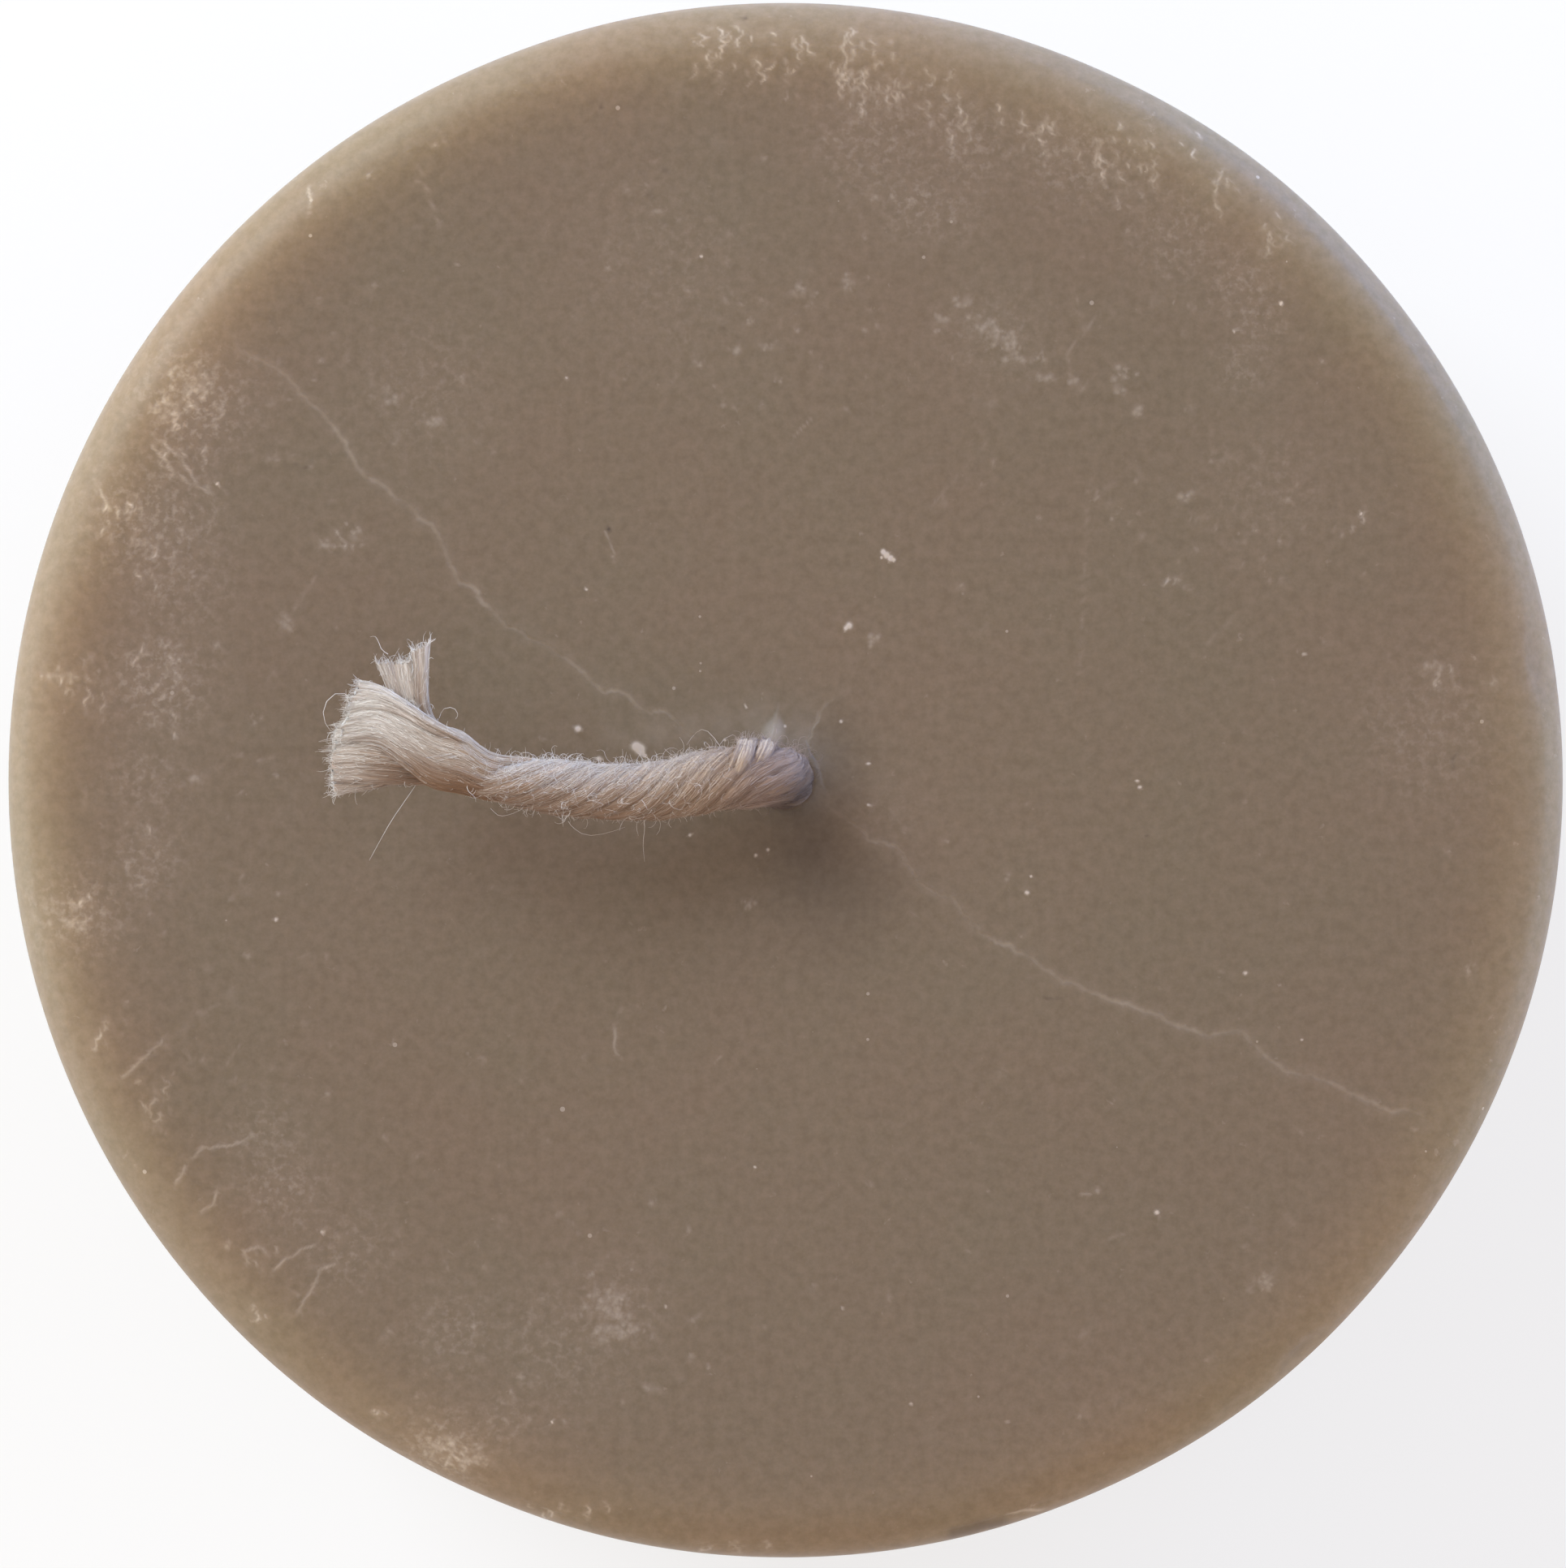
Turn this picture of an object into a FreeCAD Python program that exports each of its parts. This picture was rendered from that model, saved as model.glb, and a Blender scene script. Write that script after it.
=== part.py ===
"""A pillar candle: a cast wax body with a softly rounded rim, and the cotton wick that runs
through it, bends over just above the wax and ends in an unlaid, cut tuft.

Millimetres, +Z up. The origin is the centre of the base. The wick leans towards -X.
"""

import FreeCAD
import Part

import math
import os

Vector = FreeCAD.Vector

# Wax body
BODY_DIAMETER = 70.0
BODY_HEIGHT = 100.0
RIM_SIDE_RADIUS = 1.8
RIM_TOP_RADIUS = 2.6
RIM_JOIN_DEGREES = 45.0
FOOT_CHAMFER = 0.8

# Wax drawn up round the wick as it set
MOUND_REACH = 2.4
MOUND_RISE = 0.5

# Hairline cracks in the top
CRACK_WIDTH = 0.2
CRACK_DEPTH = 0.45

# Wick: a cord of strands laid left-handed, which swells a little where it leaves the wax
WAXED_DIAMETER = 2.4
WICK_DIAMETER = 2.5
WICK_CLEARANCE = 0.02
STRAND_RELIEF = 0.08
LAY_LENGTH = 10.0
STRAIGHT_ABOVE_WAX = 0.15
SECTIONS_PER_TURN = 18

# Tuft: where the strands come apart and have been cut
TUFT_LEAD = 3.2
TUFT_ROOT_DEPTH = 0.5
STRAND_DIAMETER = 1.0
TUFT_END_THICKNESS = 0.75

# Centreline of the free wick: X, Y and the height above the flat top. It is a route chosen by hand.
WICK_ROUTE = [
    (-0.40, 0.05, 1.75),
    (-1.35, 0.10, 2.60),
    (-2.70, 0.00, 2.95),
    (-4.40, -0.33, 3.10),
    (-6.20, -0.54, 3.35),
    (-8.40, -0.48, 3.80),
    (-10.80, -0.20, 4.45),
    (-12.90, 0.27, 5.18),
    (-14.40, 0.70, 5.75),
]

# The strands' cut ends, in order round the tuft: X, Y and the height above the flat top.
# The cord has as many strands as this list.
TUFT_TIPS = [
    (-20.15, -0.05, 6.10),
    (-20.25, 1.10, 6.60),
    (-20.10, 2.20, 6.95),
    (-19.75, 3.25, 7.15),
    (-19.00, 4.10, 7.05),
    (-17.85, 5.10, 6.70),
    (-17.15, 5.30, 6.45),
    (-16.42, 5.90, 6.20),
]
TUFT_END_WIDTHS = [1.25, 1.30, 1.30, 1.25, 1.15, 1.00, 0.90, 0.55]

# Courses of the cracks over the top, X and Y
LEFT_CRACK = [
    (-25.2, 20.2), (-22.3, 18.1), (-20.0, 15.2), (-18.6, 13.4), (-15.9, 11.3),
    (-14.9, 9.3), (-12.8, 6.9), (-10.2, 5.6), (-8.5, 4.0), (-6.1, 3.1), (-3.7, 1.9),
]
RIGHT_CRACK = [
    (2.9, 3.9), (1.9, 3.1), (1.55, 2.0), (1.75, 0.7), (2.0, -1.1), (3.1, -2.0), (5.2, -3.3),
    (7.5, -5.3), (9.5, -7.3), (13.1, -9.3), (18.7, -11.5), (21.8, -12.7), (25.8, -14.1), (28.8, -15.3),
]

# Knocks in the rim: angle round Z, angle up its side arc, scoop radius and depth
RIM_KNOCKS = [
    (8.7, 42.0, 9.0, 0.30),
    (-47.8, 28.0, 3.0, 0.35),
]

# Sizes worked out from those above
body_radius = BODY_DIAMETER / 2
wick_radius = WICK_DIAMETER / 2
waxed_radius = WAXED_DIAMETER / 2
bore_radius = waxed_radius + WICK_CLEARANCE
mound_top = BODY_HEIGHT + MOUND_RISE
free_start = mound_top + STRAIGHT_ABOVE_WAX
rim_join = math.radians(RIM_JOIN_DEGREES)
rim_side_r = body_radius - RIM_SIDE_RADIUS
rim_side_z = BODY_HEIGHT - RIM_TOP_RADIUS + (RIM_TOP_RADIUS - RIM_SIDE_RADIUS) * math.sin(rim_join)
rim_top_r = rim_side_r - (RIM_TOP_RADIUS - RIM_SIDE_RADIUS) * math.cos(rim_join)
strand_count = len(TUFT_TIPS)
strand_pitch = 2 * math.pi / strand_count


def arc(radius, centre_r, centre_z, start_degrees, end_degrees):
    """An arc in the XZ plane about a centre, from one angle to another."""
    points = []
    for degrees in (start_degrees, (start_degrees + end_degrees) / 2, end_degrees):
        turn = math.radians(degrees)
        points.append(Vector(centre_r + radius * math.cos(turn), 0, centre_z + radius * math.sin(turn)))
    return Part.Arc(*points).toShape()


def profile_of_body():
    """Half section of the wax: foot, wall, rounded rim, flat top, mound and bore."""
    foot = Part.makeLine(Vector(body_radius - FOOT_CHAMFER, 0, 0), Vector(body_radius, 0, FOOT_CHAMFER))
    rim_side = arc(RIM_SIDE_RADIUS, rim_side_r, rim_side_z, 0, RIM_JOIN_DEGREES)
    rim_top = arc(RIM_TOP_RADIUS, rim_top_r, BODY_HEIGHT - RIM_TOP_RADIUS, RIM_JOIN_DEGREES, 90)
    mound_radius = (MOUND_REACH**2 + MOUND_RISE**2) / (2 * MOUND_RISE)
    mound_angle = math.degrees(math.asin(MOUND_REACH / mound_radius))
    mound = arc(
        mound_radius, bore_radius + MOUND_REACH, BODY_HEIGHT + mound_radius, -90, -90 - mound_angle
    )
    base_inner = Vector(bore_radius, 0, 0)
    edges = [
        Part.makeLine(base_inner, foot.firstVertex().Point),
        foot,
        Part.makeLine(foot.lastVertex().Point, rim_side.firstVertex().Point),
        rim_side,
        rim_top,
        Part.makeLine(rim_top.lastVertex().Point, mound.firstVertex().Point),
        mound,
        Part.makeLine(mound.lastVertex().Point, base_inner),
    ]
    return Part.Face(Part.Wire(edges))


def crack_cutter(course):
    """A thin upright blade that follows a course and runs out to a point at both ends."""
    points = [Vector(x, y, BODY_HEIGHT - CRACK_DEPTH) for x, y in course]
    left = []
    right = []
    for before, here, after in zip(points, points[1:], points[2:]):
        along = (after - before).normalize()
        across = Vector(-along.y, along.x, 0) * (CRACK_WIDTH / 2)
        left.append(here + across)
        right.append(here - across)
    outline = [points[0]] + left + [points[-1]] + right[::-1] + [points[0]]
    face = Part.Face(Part.makePolygon(outline))
    return face.extrude(Vector(0, 0, CRACK_DEPTH + 2 * MOUND_RISE))


def knock_cutter(angle, place, radius, depth):
    """A ball that takes a shallow scoop out of the rim's rounding."""
    place = math.radians(place)
    reach = RIM_SIDE_RADIUS + radius - depth
    centre = Vector(rim_side_r + reach * math.cos(place), 0, rim_side_z + reach * math.sin(place))
    ball = Part.makeSphere(radius, centre)
    ball.rotate(Vector(0, 0, 0), Vector(0, 0, 1), angle)
    return ball


def make_wax_body():
    """The cast wax with its cracks and the knocks in its rim."""
    body = profile_of_body().revolve(Vector(0, 0, 0), Vector(0, 0, 1), 360)
    cutters = [crack_cutter(LEFT_CRACK), crack_cutter(RIGHT_CRACK)]
    cutters += [knock_cutter(*knock) for knock in RIM_KNOCKS]
    return body.cut(cutters)


def lobed_section(centre, tangent, normal, phase):
    """The cord's cross-section: one outward arc for each strand, meeting in grooves."""
    side = tangent.cross(normal)

    def place(turn, radius):
        return centre + normal * (radius * math.cos(turn)) + side * (radius * math.sin(turn))

    arcs = []
    for strand in range(strand_count):
        start = phase + strand * strand_pitch
        arcs.append(
            Part.Arc(
                place(start, wick_radius - STRAND_RELIEF),
                place(start + strand_pitch / 2, wick_radius),
                place(start + strand_pitch, wick_radius - STRAND_RELIEF),
            ).toShape()
        )
    return Part.Wire(arcs)


def free_route():
    """The centreline of the wick from where it leaves the wax, upright, to the neck of the tuft."""
    points = [Vector(0, 0, free_start - wick_radius), Vector(0, 0, free_start)]
    points += [Vector(x, y, BODY_HEIGHT + height) for x, y, height in WICK_ROUTE]
    curve = Part.BSplineCurve()
    curve.interpolate(Points=points)
    curve.segment(curve.parameter(points[1]), curve.LastParameter)
    return curve


def make_free_cord(curve):
    """The laid cord: lobed sections carried along the route, turning left-handed as they go."""
    length = curve.length()
    count = math.ceil(length / LAY_LENGTH * SECTIONS_PER_TURN)
    tangent = Vector(0, 0, 1)
    normal = Vector(1, 0, 0)
    sections = []
    for index, point in enumerate(curve.discretize(Number=count + 1)):
        if index > 0:
            tangent = Vector(*curve.tangent(curve.parameter(point))[0])
        normal = (normal - tangent * normal.dot(tangent)).normalize()
        phase = -2 * math.pi * (index * length / count) / LAY_LENGTH
        sections.append(lobed_section(point, tangent, normal, phase))
    return Part.makeLoft(sections, True, True)


def strand_section(centre, along, width, thickness):
    """A loose strand's cross-section: a flat-lying, eight-sided oval square to the strand."""
    across = Vector(0, 0, 1).cross(along).normalize() * (width / 2)
    over = along.cross(across).normalize() * (thickness / 2)
    corners = []
    for degrees in range(0, 361, 45):
        turn = math.radians(degrees)
        corners.append(centre + across * math.cos(turn) + over * math.sin(turn))
    return Part.makePolygon(corners)


def make_tuft_strand(root, heading, tip, end_width):
    """One strand: it leaves the cord along its heading, bends to its cut end and flattens."""
    path = Part.BezierCurve()
    path.setPoles([root, root + heading * TUFT_LEAD, tip])
    sections = []
    for share in (0, 0.3, 0.65, 1):
        width = STRAND_DIAMETER + (end_width - STRAND_DIAMETER) * share
        thickness = STRAND_DIAMETER + (TUFT_END_THICKNESS - STRAND_DIAMETER) * share
        along = Vector(*path.tangent(share)[0])
        sections.append(strand_section(path.value(share), along, width, thickness))
    return Part.makeLoft(sections, True, False)


def make_tuft(neck, heading):
    """The strands, each from its place in the ring inside the end of the cord to its cut end."""
    across = heading.cross(Vector(0, 0, 1)).normalize()
    over = across.cross(heading)
    ring_radius = wick_radius - STRAND_RELIEF - STRAND_DIAMETER / 2
    start = neck - heading * TUFT_ROOT_DEPTH
    strands = []
    for index, (x, y, height) in enumerate(TUFT_TIPS):
        turn = (index // 2 + 0.5) * strand_pitch
        layer = 1 if index % 2 else -1
        root = start - across * (ring_radius * math.cos(turn)) + over * (layer * ring_radius * math.sin(turn))
        tip = Vector(x, y, BODY_HEIGHT + height)
        strands.append(make_tuft_strand(root, heading, tip, TUFT_END_WIDTHS[index]))
    return strands


def make_wick():
    """The whole wick: the waxed stretch inside the body, the free cord and its tuft."""
    curve = free_route()
    neck = curve.value(curve.LastParameter)
    heading = Vector(*curve.tangent(curve.LastParameter)[0])
    inside = Part.makeCylinder(waxed_radius, free_start)
    return inside.fuse([make_free_cord(curve)] + make_tuft(neck, heading))


pieces = {"wax_body": make_wax_body(), "wick": make_wick()}

os.makedirs("parts", exist_ok=True)
for name, shape in pieces.items():
    print(name, "solids", len(shape.Solids), "valid", shape.isValid(), "volume", round(shape.Volume, 1))
    shape.exportStep("parts/" + name + ".step")
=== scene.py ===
# %% [markdown]
# # A pillar candle seen from above
# The object is a cast pillar of taupe wax, 70 mm across, with a cotton wick that leans over its
# top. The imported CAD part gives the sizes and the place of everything: +Z is up, the origin is the
# centre of the base, and the wick leans towards -X. This lesson dresses that part: each CAD solid
# is replaced by a finer surface that is worked out with numpy, and each surface gets a material
# that starts from what the real one is.

import math

import bmesh
import bpy
import numpy as np
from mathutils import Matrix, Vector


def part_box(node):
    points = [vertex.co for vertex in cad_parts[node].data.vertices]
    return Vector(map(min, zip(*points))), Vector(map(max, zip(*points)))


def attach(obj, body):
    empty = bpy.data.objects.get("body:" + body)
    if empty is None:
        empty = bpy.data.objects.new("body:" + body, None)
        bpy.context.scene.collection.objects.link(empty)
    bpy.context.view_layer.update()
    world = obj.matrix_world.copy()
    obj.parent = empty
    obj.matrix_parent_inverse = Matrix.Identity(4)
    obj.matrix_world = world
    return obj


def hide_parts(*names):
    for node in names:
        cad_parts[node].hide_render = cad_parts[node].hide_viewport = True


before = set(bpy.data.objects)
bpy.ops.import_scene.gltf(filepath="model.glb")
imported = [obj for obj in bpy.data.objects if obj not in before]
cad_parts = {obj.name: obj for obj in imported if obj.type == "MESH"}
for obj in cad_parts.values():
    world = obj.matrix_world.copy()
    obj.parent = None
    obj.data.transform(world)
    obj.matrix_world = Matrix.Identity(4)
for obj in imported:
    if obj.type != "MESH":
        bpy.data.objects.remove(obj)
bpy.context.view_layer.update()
wax_low, wax_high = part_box("wax_body")
wick_low, wick_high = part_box("wick")
print("wax box, mm:", [round(v * 1000, 2) for v in (*wax_low, *wax_high)])
print("wick box, mm:", [round(v * 1000, 2) for v in (*wick_low, *wick_high)])

# %% [markdown]
# ## Small tools
# Lengths below are written in millimetres, because that is how a maker measures a candle, and are
# turned to metres once, where a mesh is made. A colour is written as the hex value that a paint
# chart gives, and one function turns it to the linear light that the renderer adds up.

# %% Units, colours and nodes
MM = 0.001


def linear(hex_colour):
    """An sRGB hex colour as linear red, green, blue and a full alpha."""
    parts = [int(hex_colour[i : i + 2], 16) / 255 for i in (1, 3, 5)]
    return [c / 12.92 if c <= 0.04045 else ((c + 0.055) / 1.055) ** 2.4 for c in parts] + [1.0]


def add_node(tree, kind, inputs=None, **settings):
    """Adds a node with its settings. inputs gives a plain value or another node's output per socket."""
    made = tree.nodes.new(kind)
    for name, value in settings.items():
        setattr(made, name, value)
    for name, value in (inputs or {}).items():
        if isinstance(value, bpy.types.NodeSocket):
            tree.links.new(value, made.inputs[name])
        else:
            made.inputs[name].default_value = value
    return made


def new_material(name):
    """An empty node material with its output. Returns the material, its tree and the output."""
    material = bpy.data.materials.new(name)
    material.use_nodes = True
    material.node_tree.nodes.clear()
    return material, material.node_tree, material.node_tree.nodes.new("ShaderNodeOutputMaterial")


# %% [markdown]
# ## From arrays to meshes
# Every surface here is a grid: rows of points that run one way and columns that run the other.
# The points come from a formula as whole arrays, and the faces only depend on the grid's size, so
# one function makes the faces and one puts both into Blender.

# %% Grids and meshes
def grid_faces(rows, columns, wrap_rows=False, wrap_columns=True):
    """Quads between neighbouring points of a grid, numbered row by row. A wrapped side closes on itself."""
    r = np.arange(rows if wrap_rows else rows - 1)[:, None]
    c = np.arange(columns if wrap_columns else columns - 1)[None, :]
    r2, c2 = (r + 1) % rows, (c + 1) % columns
    corners = [r * columns + c, r2 * columns + c, r2 * columns + c2, r * columns + c2]
    return np.stack(corners, -1).reshape(-1, 4)


def array_of(collection, name, width=1, kind=np.float32):
    """One value of every item of a Blender collection, as an array."""
    values = np.empty(len(collection) * width, kind)
    collection.foreach_get(name, values)
    return values.reshape(-1, width) if width > 1 else values


def mesh_object(name, points, faces, extra_faces=(), uv=None):
    """An object at the origin from points in millimetres, an array of faces and a few larger faces.
    uv gives two coordinates per point."""
    mesh = bpy.data.meshes.new(name)
    all_faces = np.asarray(faces).tolist() + [list(face) for face in extra_faces]
    mesh.from_pydata((np.asarray(points) * MM).tolist(), [], all_faces)
    if uv is not None:
        corner = array_of(mesh.loops, "vertex_index", kind=np.int32)
        layer = mesh.uv_layers.new(name="along")
        layer.data.foreach_set("uv", np.asarray(uv, np.float32)[corner].ravel())
    mesh.shade_smooth()
    made = bpy.data.objects.new(name, mesh)
    bpy.context.scene.collection.objects.link(made)
    return made


def keep_value(mesh, name, values):
    """Keeps one number per point of a mesh, for its material to read."""
    kept = mesh.attributes.new(name, "FLOAT", "POINT")
    kept.data.foreach_set("value", np.asarray(values, np.float32).ravel())


def ease(value, start, end):
    """0 before start, 1 after end, and a smooth S between them."""
    t = np.clip((value - start) / (end - start), 0, 1)
    return t * t * (3 - 2 * t)


def between(here, right, below, below_right, a, b):
    """The value between four neighbours: a is the way down from 0 to 1, and b the way to the right."""
    return (here * (1 - b) + right * b) * (1 - a) + (below * (1 - b) + below_right * b) * a


def soft_noise(u, v, seed):
    """Smooth noise from -1 to 1: random heights at whole numbers of u and v, eased between them."""
    table = np.random.default_rng(seed).uniform(-1, 1, (256, 256))
    i, j = np.floor(u).astype(int), np.floor(v).astype(int)
    a, b = u - i, v - j
    a, b = a * a * (3 - 2 * a), b * b * (3 - 2 * b)
    i, j, i2, j2 = i % 256, j % 256, (i + 1) % 256, (j + 1) % 256
    return between(table[i, j], table[i, j2], table[i2, j], table[i2, j2], a, b)


def line_noise(t, row, seed):
    """Smooth noise along a line: one row of the noise table."""
    return soft_noise(t, t * 0 + row, seed)


# %% [markdown]
# ## Marks on the wax
# Handling and cooling have marked the top: two long hairline cracks, curled crazing round the rim,
# scuffs, frosted patches, crumbs and hairs. They could be an image, but an image can't be worked
# out here, and a pattern of nodes can't follow one crack. So they are stamped with a soft round
# brush on a canvas of numbers, a plan of the top in cells of 0.05 mm, and the wax mesh reads the
# canvas where its points lie. One layer holds how pale a mark is, one how deep and one how high it
# is, one how dark, and one the broad areas where the surface has bloomed.

# %% The canvas and its brush
CELL = 0.05
HALF = 36.0
BRUSH_REACH = 2.2
side = int(2 * HALF / CELL) + 1
# The pale layer also holds painted light, and the dark layer painted shade and shadow, round the wick's foot.
canvas = {layer: np.zeros((side, side), np.float32) for layer in ("pale", "groove", "ridge", "dark", "bloom")}


def stamp(layer, points, radius, strength):
    """Presses the brush at each point: strength times exp of minus the square of distance over radius, out
    to where under a hundredth is left. The strongest value stays."""
    points = np.atleast_2d(points)
    radius = np.broadcast_to(radius, len(points)).astype(float)
    strength = np.broadcast_to(strength, len(points)).astype(float)
    reach = int(np.ceil(BRUSH_REACH * radius.max() / CELL))
    dy, dx = np.mgrid[-reach : reach + 1, -reach : reach + 1]
    x, y = points[:, 0, None, None], points[:, 1, None, None]
    column = np.round((x + HALF) / CELL).astype(int) + dx
    row = np.round((y + HALF) / CELL).astype(int) + dy
    away2 = (column * CELL - HALF - x) ** 2 + (row * CELL - HALF - y) ** 2
    value = strength[:, None, None] * np.exp(-away2 / radius[:, None, None] ** 2)
    inside = (column >= 0) & (column < side) & (row >= 0) & (row < side)
    np.maximum.at(canvas[layer], (row[inside], column[inside]), value[inside].astype(np.float32))


def walk(course, step=0.04, jitter=0.0, grain=0.6, seed=0):
    """Points every step along a course of corners, moved sideways by noise of that grain and size."""
    course = np.asarray(course, float)
    run = np.concatenate([[0], np.cumsum(np.hypot(*np.diff(course, axis=0).T))])
    t = np.arange(0, run[-1], step)
    points = np.stack([np.interp(t, run, course[:, 0]), np.interp(t, run, course[:, 1])], -1)
    points[:, 0] += jitter * line_noise(t / grain, 3.5, seed)
    points[:, 1] += jitter * line_noise(t / grain, 9.5, seed)
    return points, t


# %% From a place in the photograph to a place on the candle
VIEW_CENTRE = (967.85, 961.27)
PIXEL = 0.036507
CAMERA_RISE = 750.0
RIM_BELOW_TOP = 2.0
LENS_OFF_AXIS = (-0.122, -0.173)


def seen_at(x, y, height=0.0):
    """Millimetres on the candle for a pixel of the 1929 x 1932 frame. A pixel is 0.0365 mm at the rim,
    where the lens is 750 mm away; a place nearer the lens lies closer to its axis in the same ratio."""
    nearer = (CAMERA_RISE - RIM_BELOW_TOP - np.asarray(height, float)) / CAMERA_RISE
    across = (np.asarray(x, float) - VIEW_CENTRE[0]) * PIXEL
    up = -(np.asarray(y, float) - VIEW_CENTRE[1]) * PIXEL
    axis_x, axis_y = LENS_OFF_AXIS
    return np.stack([axis_x + (across - axis_x) * nearer, axis_y + (up - axis_y) * nearer], -1)


def course_at(pixels):
    """The course of a mark from its pixels, in millimetres on the top."""
    return seen_at(*np.array(pixels, float).T)


print("centre of the view on the top, mm:", seen_at(*VIEW_CENTRE).round(3))

# %% [markdown]
# The long cracks run from the rim to the wick on both sides, and a short one leaves the wick
# upwards. Their courses are pixels of the photograph, read from it. A crack shows pale,
# because its faces scatter light inside the wax, and it is a little groove with lips.

# %% Hairline cracks
LEFT_CRACK = [
    (279, 404), (291, 427), (319, 443), (352, 462), (379, 493), (403, 518), (420, 539), (437, 566),
    (449, 588), (466, 595), (482, 607), (503, 622), (519, 640), (532, 646), (546, 673), (557, 700),
    (567, 717), (582, 723), (594, 740), (613, 758), (621, 773), (638, 775), (650, 785), (669, 792),
    (689, 806), (710, 821), (727, 839), (741, 852), (770, 852), (785, 870), (801, 877), (818, 877),
    (835, 889), (851, 906), (880, 917),
]
RIGHT_CRACK = [
    (1021, 992), (1034, 1004), (1052, 1014), (1068, 1033), (1092, 1038), (1110, 1049), (1118, 1068),
    (1136, 1089), (1157, 1103), (1173, 1105), (1188, 1128), (1209, 1149), (1228, 1161), (1243, 1163),
    (1256, 1176), (1272, 1181), (1288, 1193), (1309, 1209), (1327, 1212), (1345, 1223), (1366, 1231),
    (1387, 1236), (1405, 1245), (1421, 1247), (1439, 1259), (1461, 1267), (1481, 1275), (1502, 1273),
    (1520, 1268), (1531, 1273), (1549, 1293), (1565, 1307), (1581, 1319), (1599, 1322), (1620, 1326),
    (1649, 1340), (1680, 1354), (1711, 1368), (1727, 1367), (1748, 1373), (1785, 1397),
]
SHORT_CRACK = [
    (1045, 853), (1030, 856), (1018, 867), (1009, 879), (1006, 889), (999, 900), (996, 912), (999, 927),
    (1009, 942), (1015, 965), (1021, 992),
]


def crack(pixels, pale, seed):
    """A groove with low lips whose paleness and width wander along its course."""
    points, t = walk(course_at(pixels), jitter=0.09, grain=0.3, seed=seed)
    points = points + 0.035 * np.stack([line_noise(t / 0.1, row, seed + 3) for row in (1.5, 5.5)], -1)
    wander = 0.7 + 0.4 * line_noise(t / 1.3, 0.5, seed + 1) + 0.3 * line_noise(t / 0.25, 0.5, seed + 2)
    ends = np.clip(np.minimum(t, t[-1] - t) / 2.5, 0.2, 1)
    stamp("pale", points, 0.08 + 0.03 * wander, np.clip(pale * wander * ends, 0, 1))
    stamp("pale", points, 0.26, 0.2 * pale * ends)
    stamp("groove", points, 0.06, 0.06 * ends)
    stamp("ridge", points, 0.25, 0.012 * ends)


crack(LEFT_CRACK, 0.30, 11)
crack(RIGHT_CRACK, 0.28, 12)
crack(SHORT_CRACK, 0.3, 13)
print("cells with a crack:", int((canvas["groove"] > 0.02).sum()))

# %% [markdown]
# ## Crazing
# Where the rim was warmed and rubbed the skin has torn in short curls, white because air got under
# them. They lie in clusters. Each row below is one cluster as the photograph shows it: the pixel
# of its middle, its half width and half height, how many curls it has, and their length. The curls
# themselves are drawn by a rule: they run down the picture and sway, or hook to the left, as the
# edge of a torn skin does.

# %% Curled crazing at the rim
CRAZING = [
    (868, 60, 36, 26, 13, 16), (922, 56, 50, 32, 24, 20), (978, 85, 16, 42, 8, 20),
    (1046, 68, 20, 36, 12, 30), (1078, 84, 36, 44, 34, 18), (1060, 122, 14, 34, 8, 26),
    (1108, 112, 20, 22, 10, 15), (1162, 118, 36, 34, 26, 17), (1172, 150, 26, 16, 8, 15),
    (1262, 158, 34, 30, 20, 17), (1302, 186, 26, 16, 7, 13), (1352, 190, 10, 26, 7, 22),
    (1396, 205, 34, 38, 32, 18), (1430, 168, 54, 22, 11, 11), (1500, 222, 16, 26, 7, 22),
    (1582, 274, 26, 26, 15, 13), (246, 484, 38, 34, 22, 15), (228, 574, 40, 34, 10, 24),
    (160, 636, 38, 24, 20, 15), (212, 684, 52, 44, 22, 11), (194, 842, 28, 62, 28, 10),
    (102, 842, 34, 14, 12, 18), (94, 1112, 24, 18, 11, 13), (182, 1052, 26, 44, 10, 9),
    (420, 666, 34, 14, 8, 9), (140, 1270, 16, 14, 6, 16), (188, 1356, 18, 32, 9, 18),
    (322, 1550, 20, 18, 8, 16), (312, 1612, 18, 8, 4, 12), (460, 1732, 14, 12, 5, 12),
    (544, 1792, 36, 18, 13, 9), (700, 1858, 50, 8, 9, 9), (905, 1902, 44, 5, 12, 8),
    (1790, 828, 22, 12, 9, 9), (1815, 1190, 10, 9, 5, 8), (1462, 690, 28, 26, 8, 7),
    (1664, 640, 20, 30, 7, 7),
]
STROKES = [
    [(1046, 36), (1038, 58), (1044, 72), (1036, 100)], [(1048, 84), (1045, 104), (1052, 126)],
    [(1292, 148), (1272, 166), (1260, 164)], [(1353, 174), (1349, 206), (1360, 194)],
    [(1508, 206), (1500, 226), (1494, 246)], [(982, 38), (978, 54), (986, 66)],
    [(146, 1331), (180, 1302), (206, 1275)],
    [(214, 1462), (232, 1432), (250, 1415), (285, 1412), (313, 1398)],
    [(268, 1464), (263, 1484), (242, 1497)], [(364, 1621), (386, 1586), (396, 1562), (419, 1555)],
    [(334, 1569), (352, 1550), (393, 1531)], [(306, 1562), (299, 1541), (318, 1536), (331, 1546)],
    [(184, 545), (214, 580), (240, 600), (266, 610)], [(196, 543), (224, 565), (246, 601)],
    [(119, 598), (134, 626), (127, 612)], [(379, 226), (383, 246), (380, 271)],
    [(756, 1264), (757, 1290), (765, 1306)], [(1238, 1868), (1262, 1862), (1288, 1862)],
]
CURL_STEPS = 44


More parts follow.
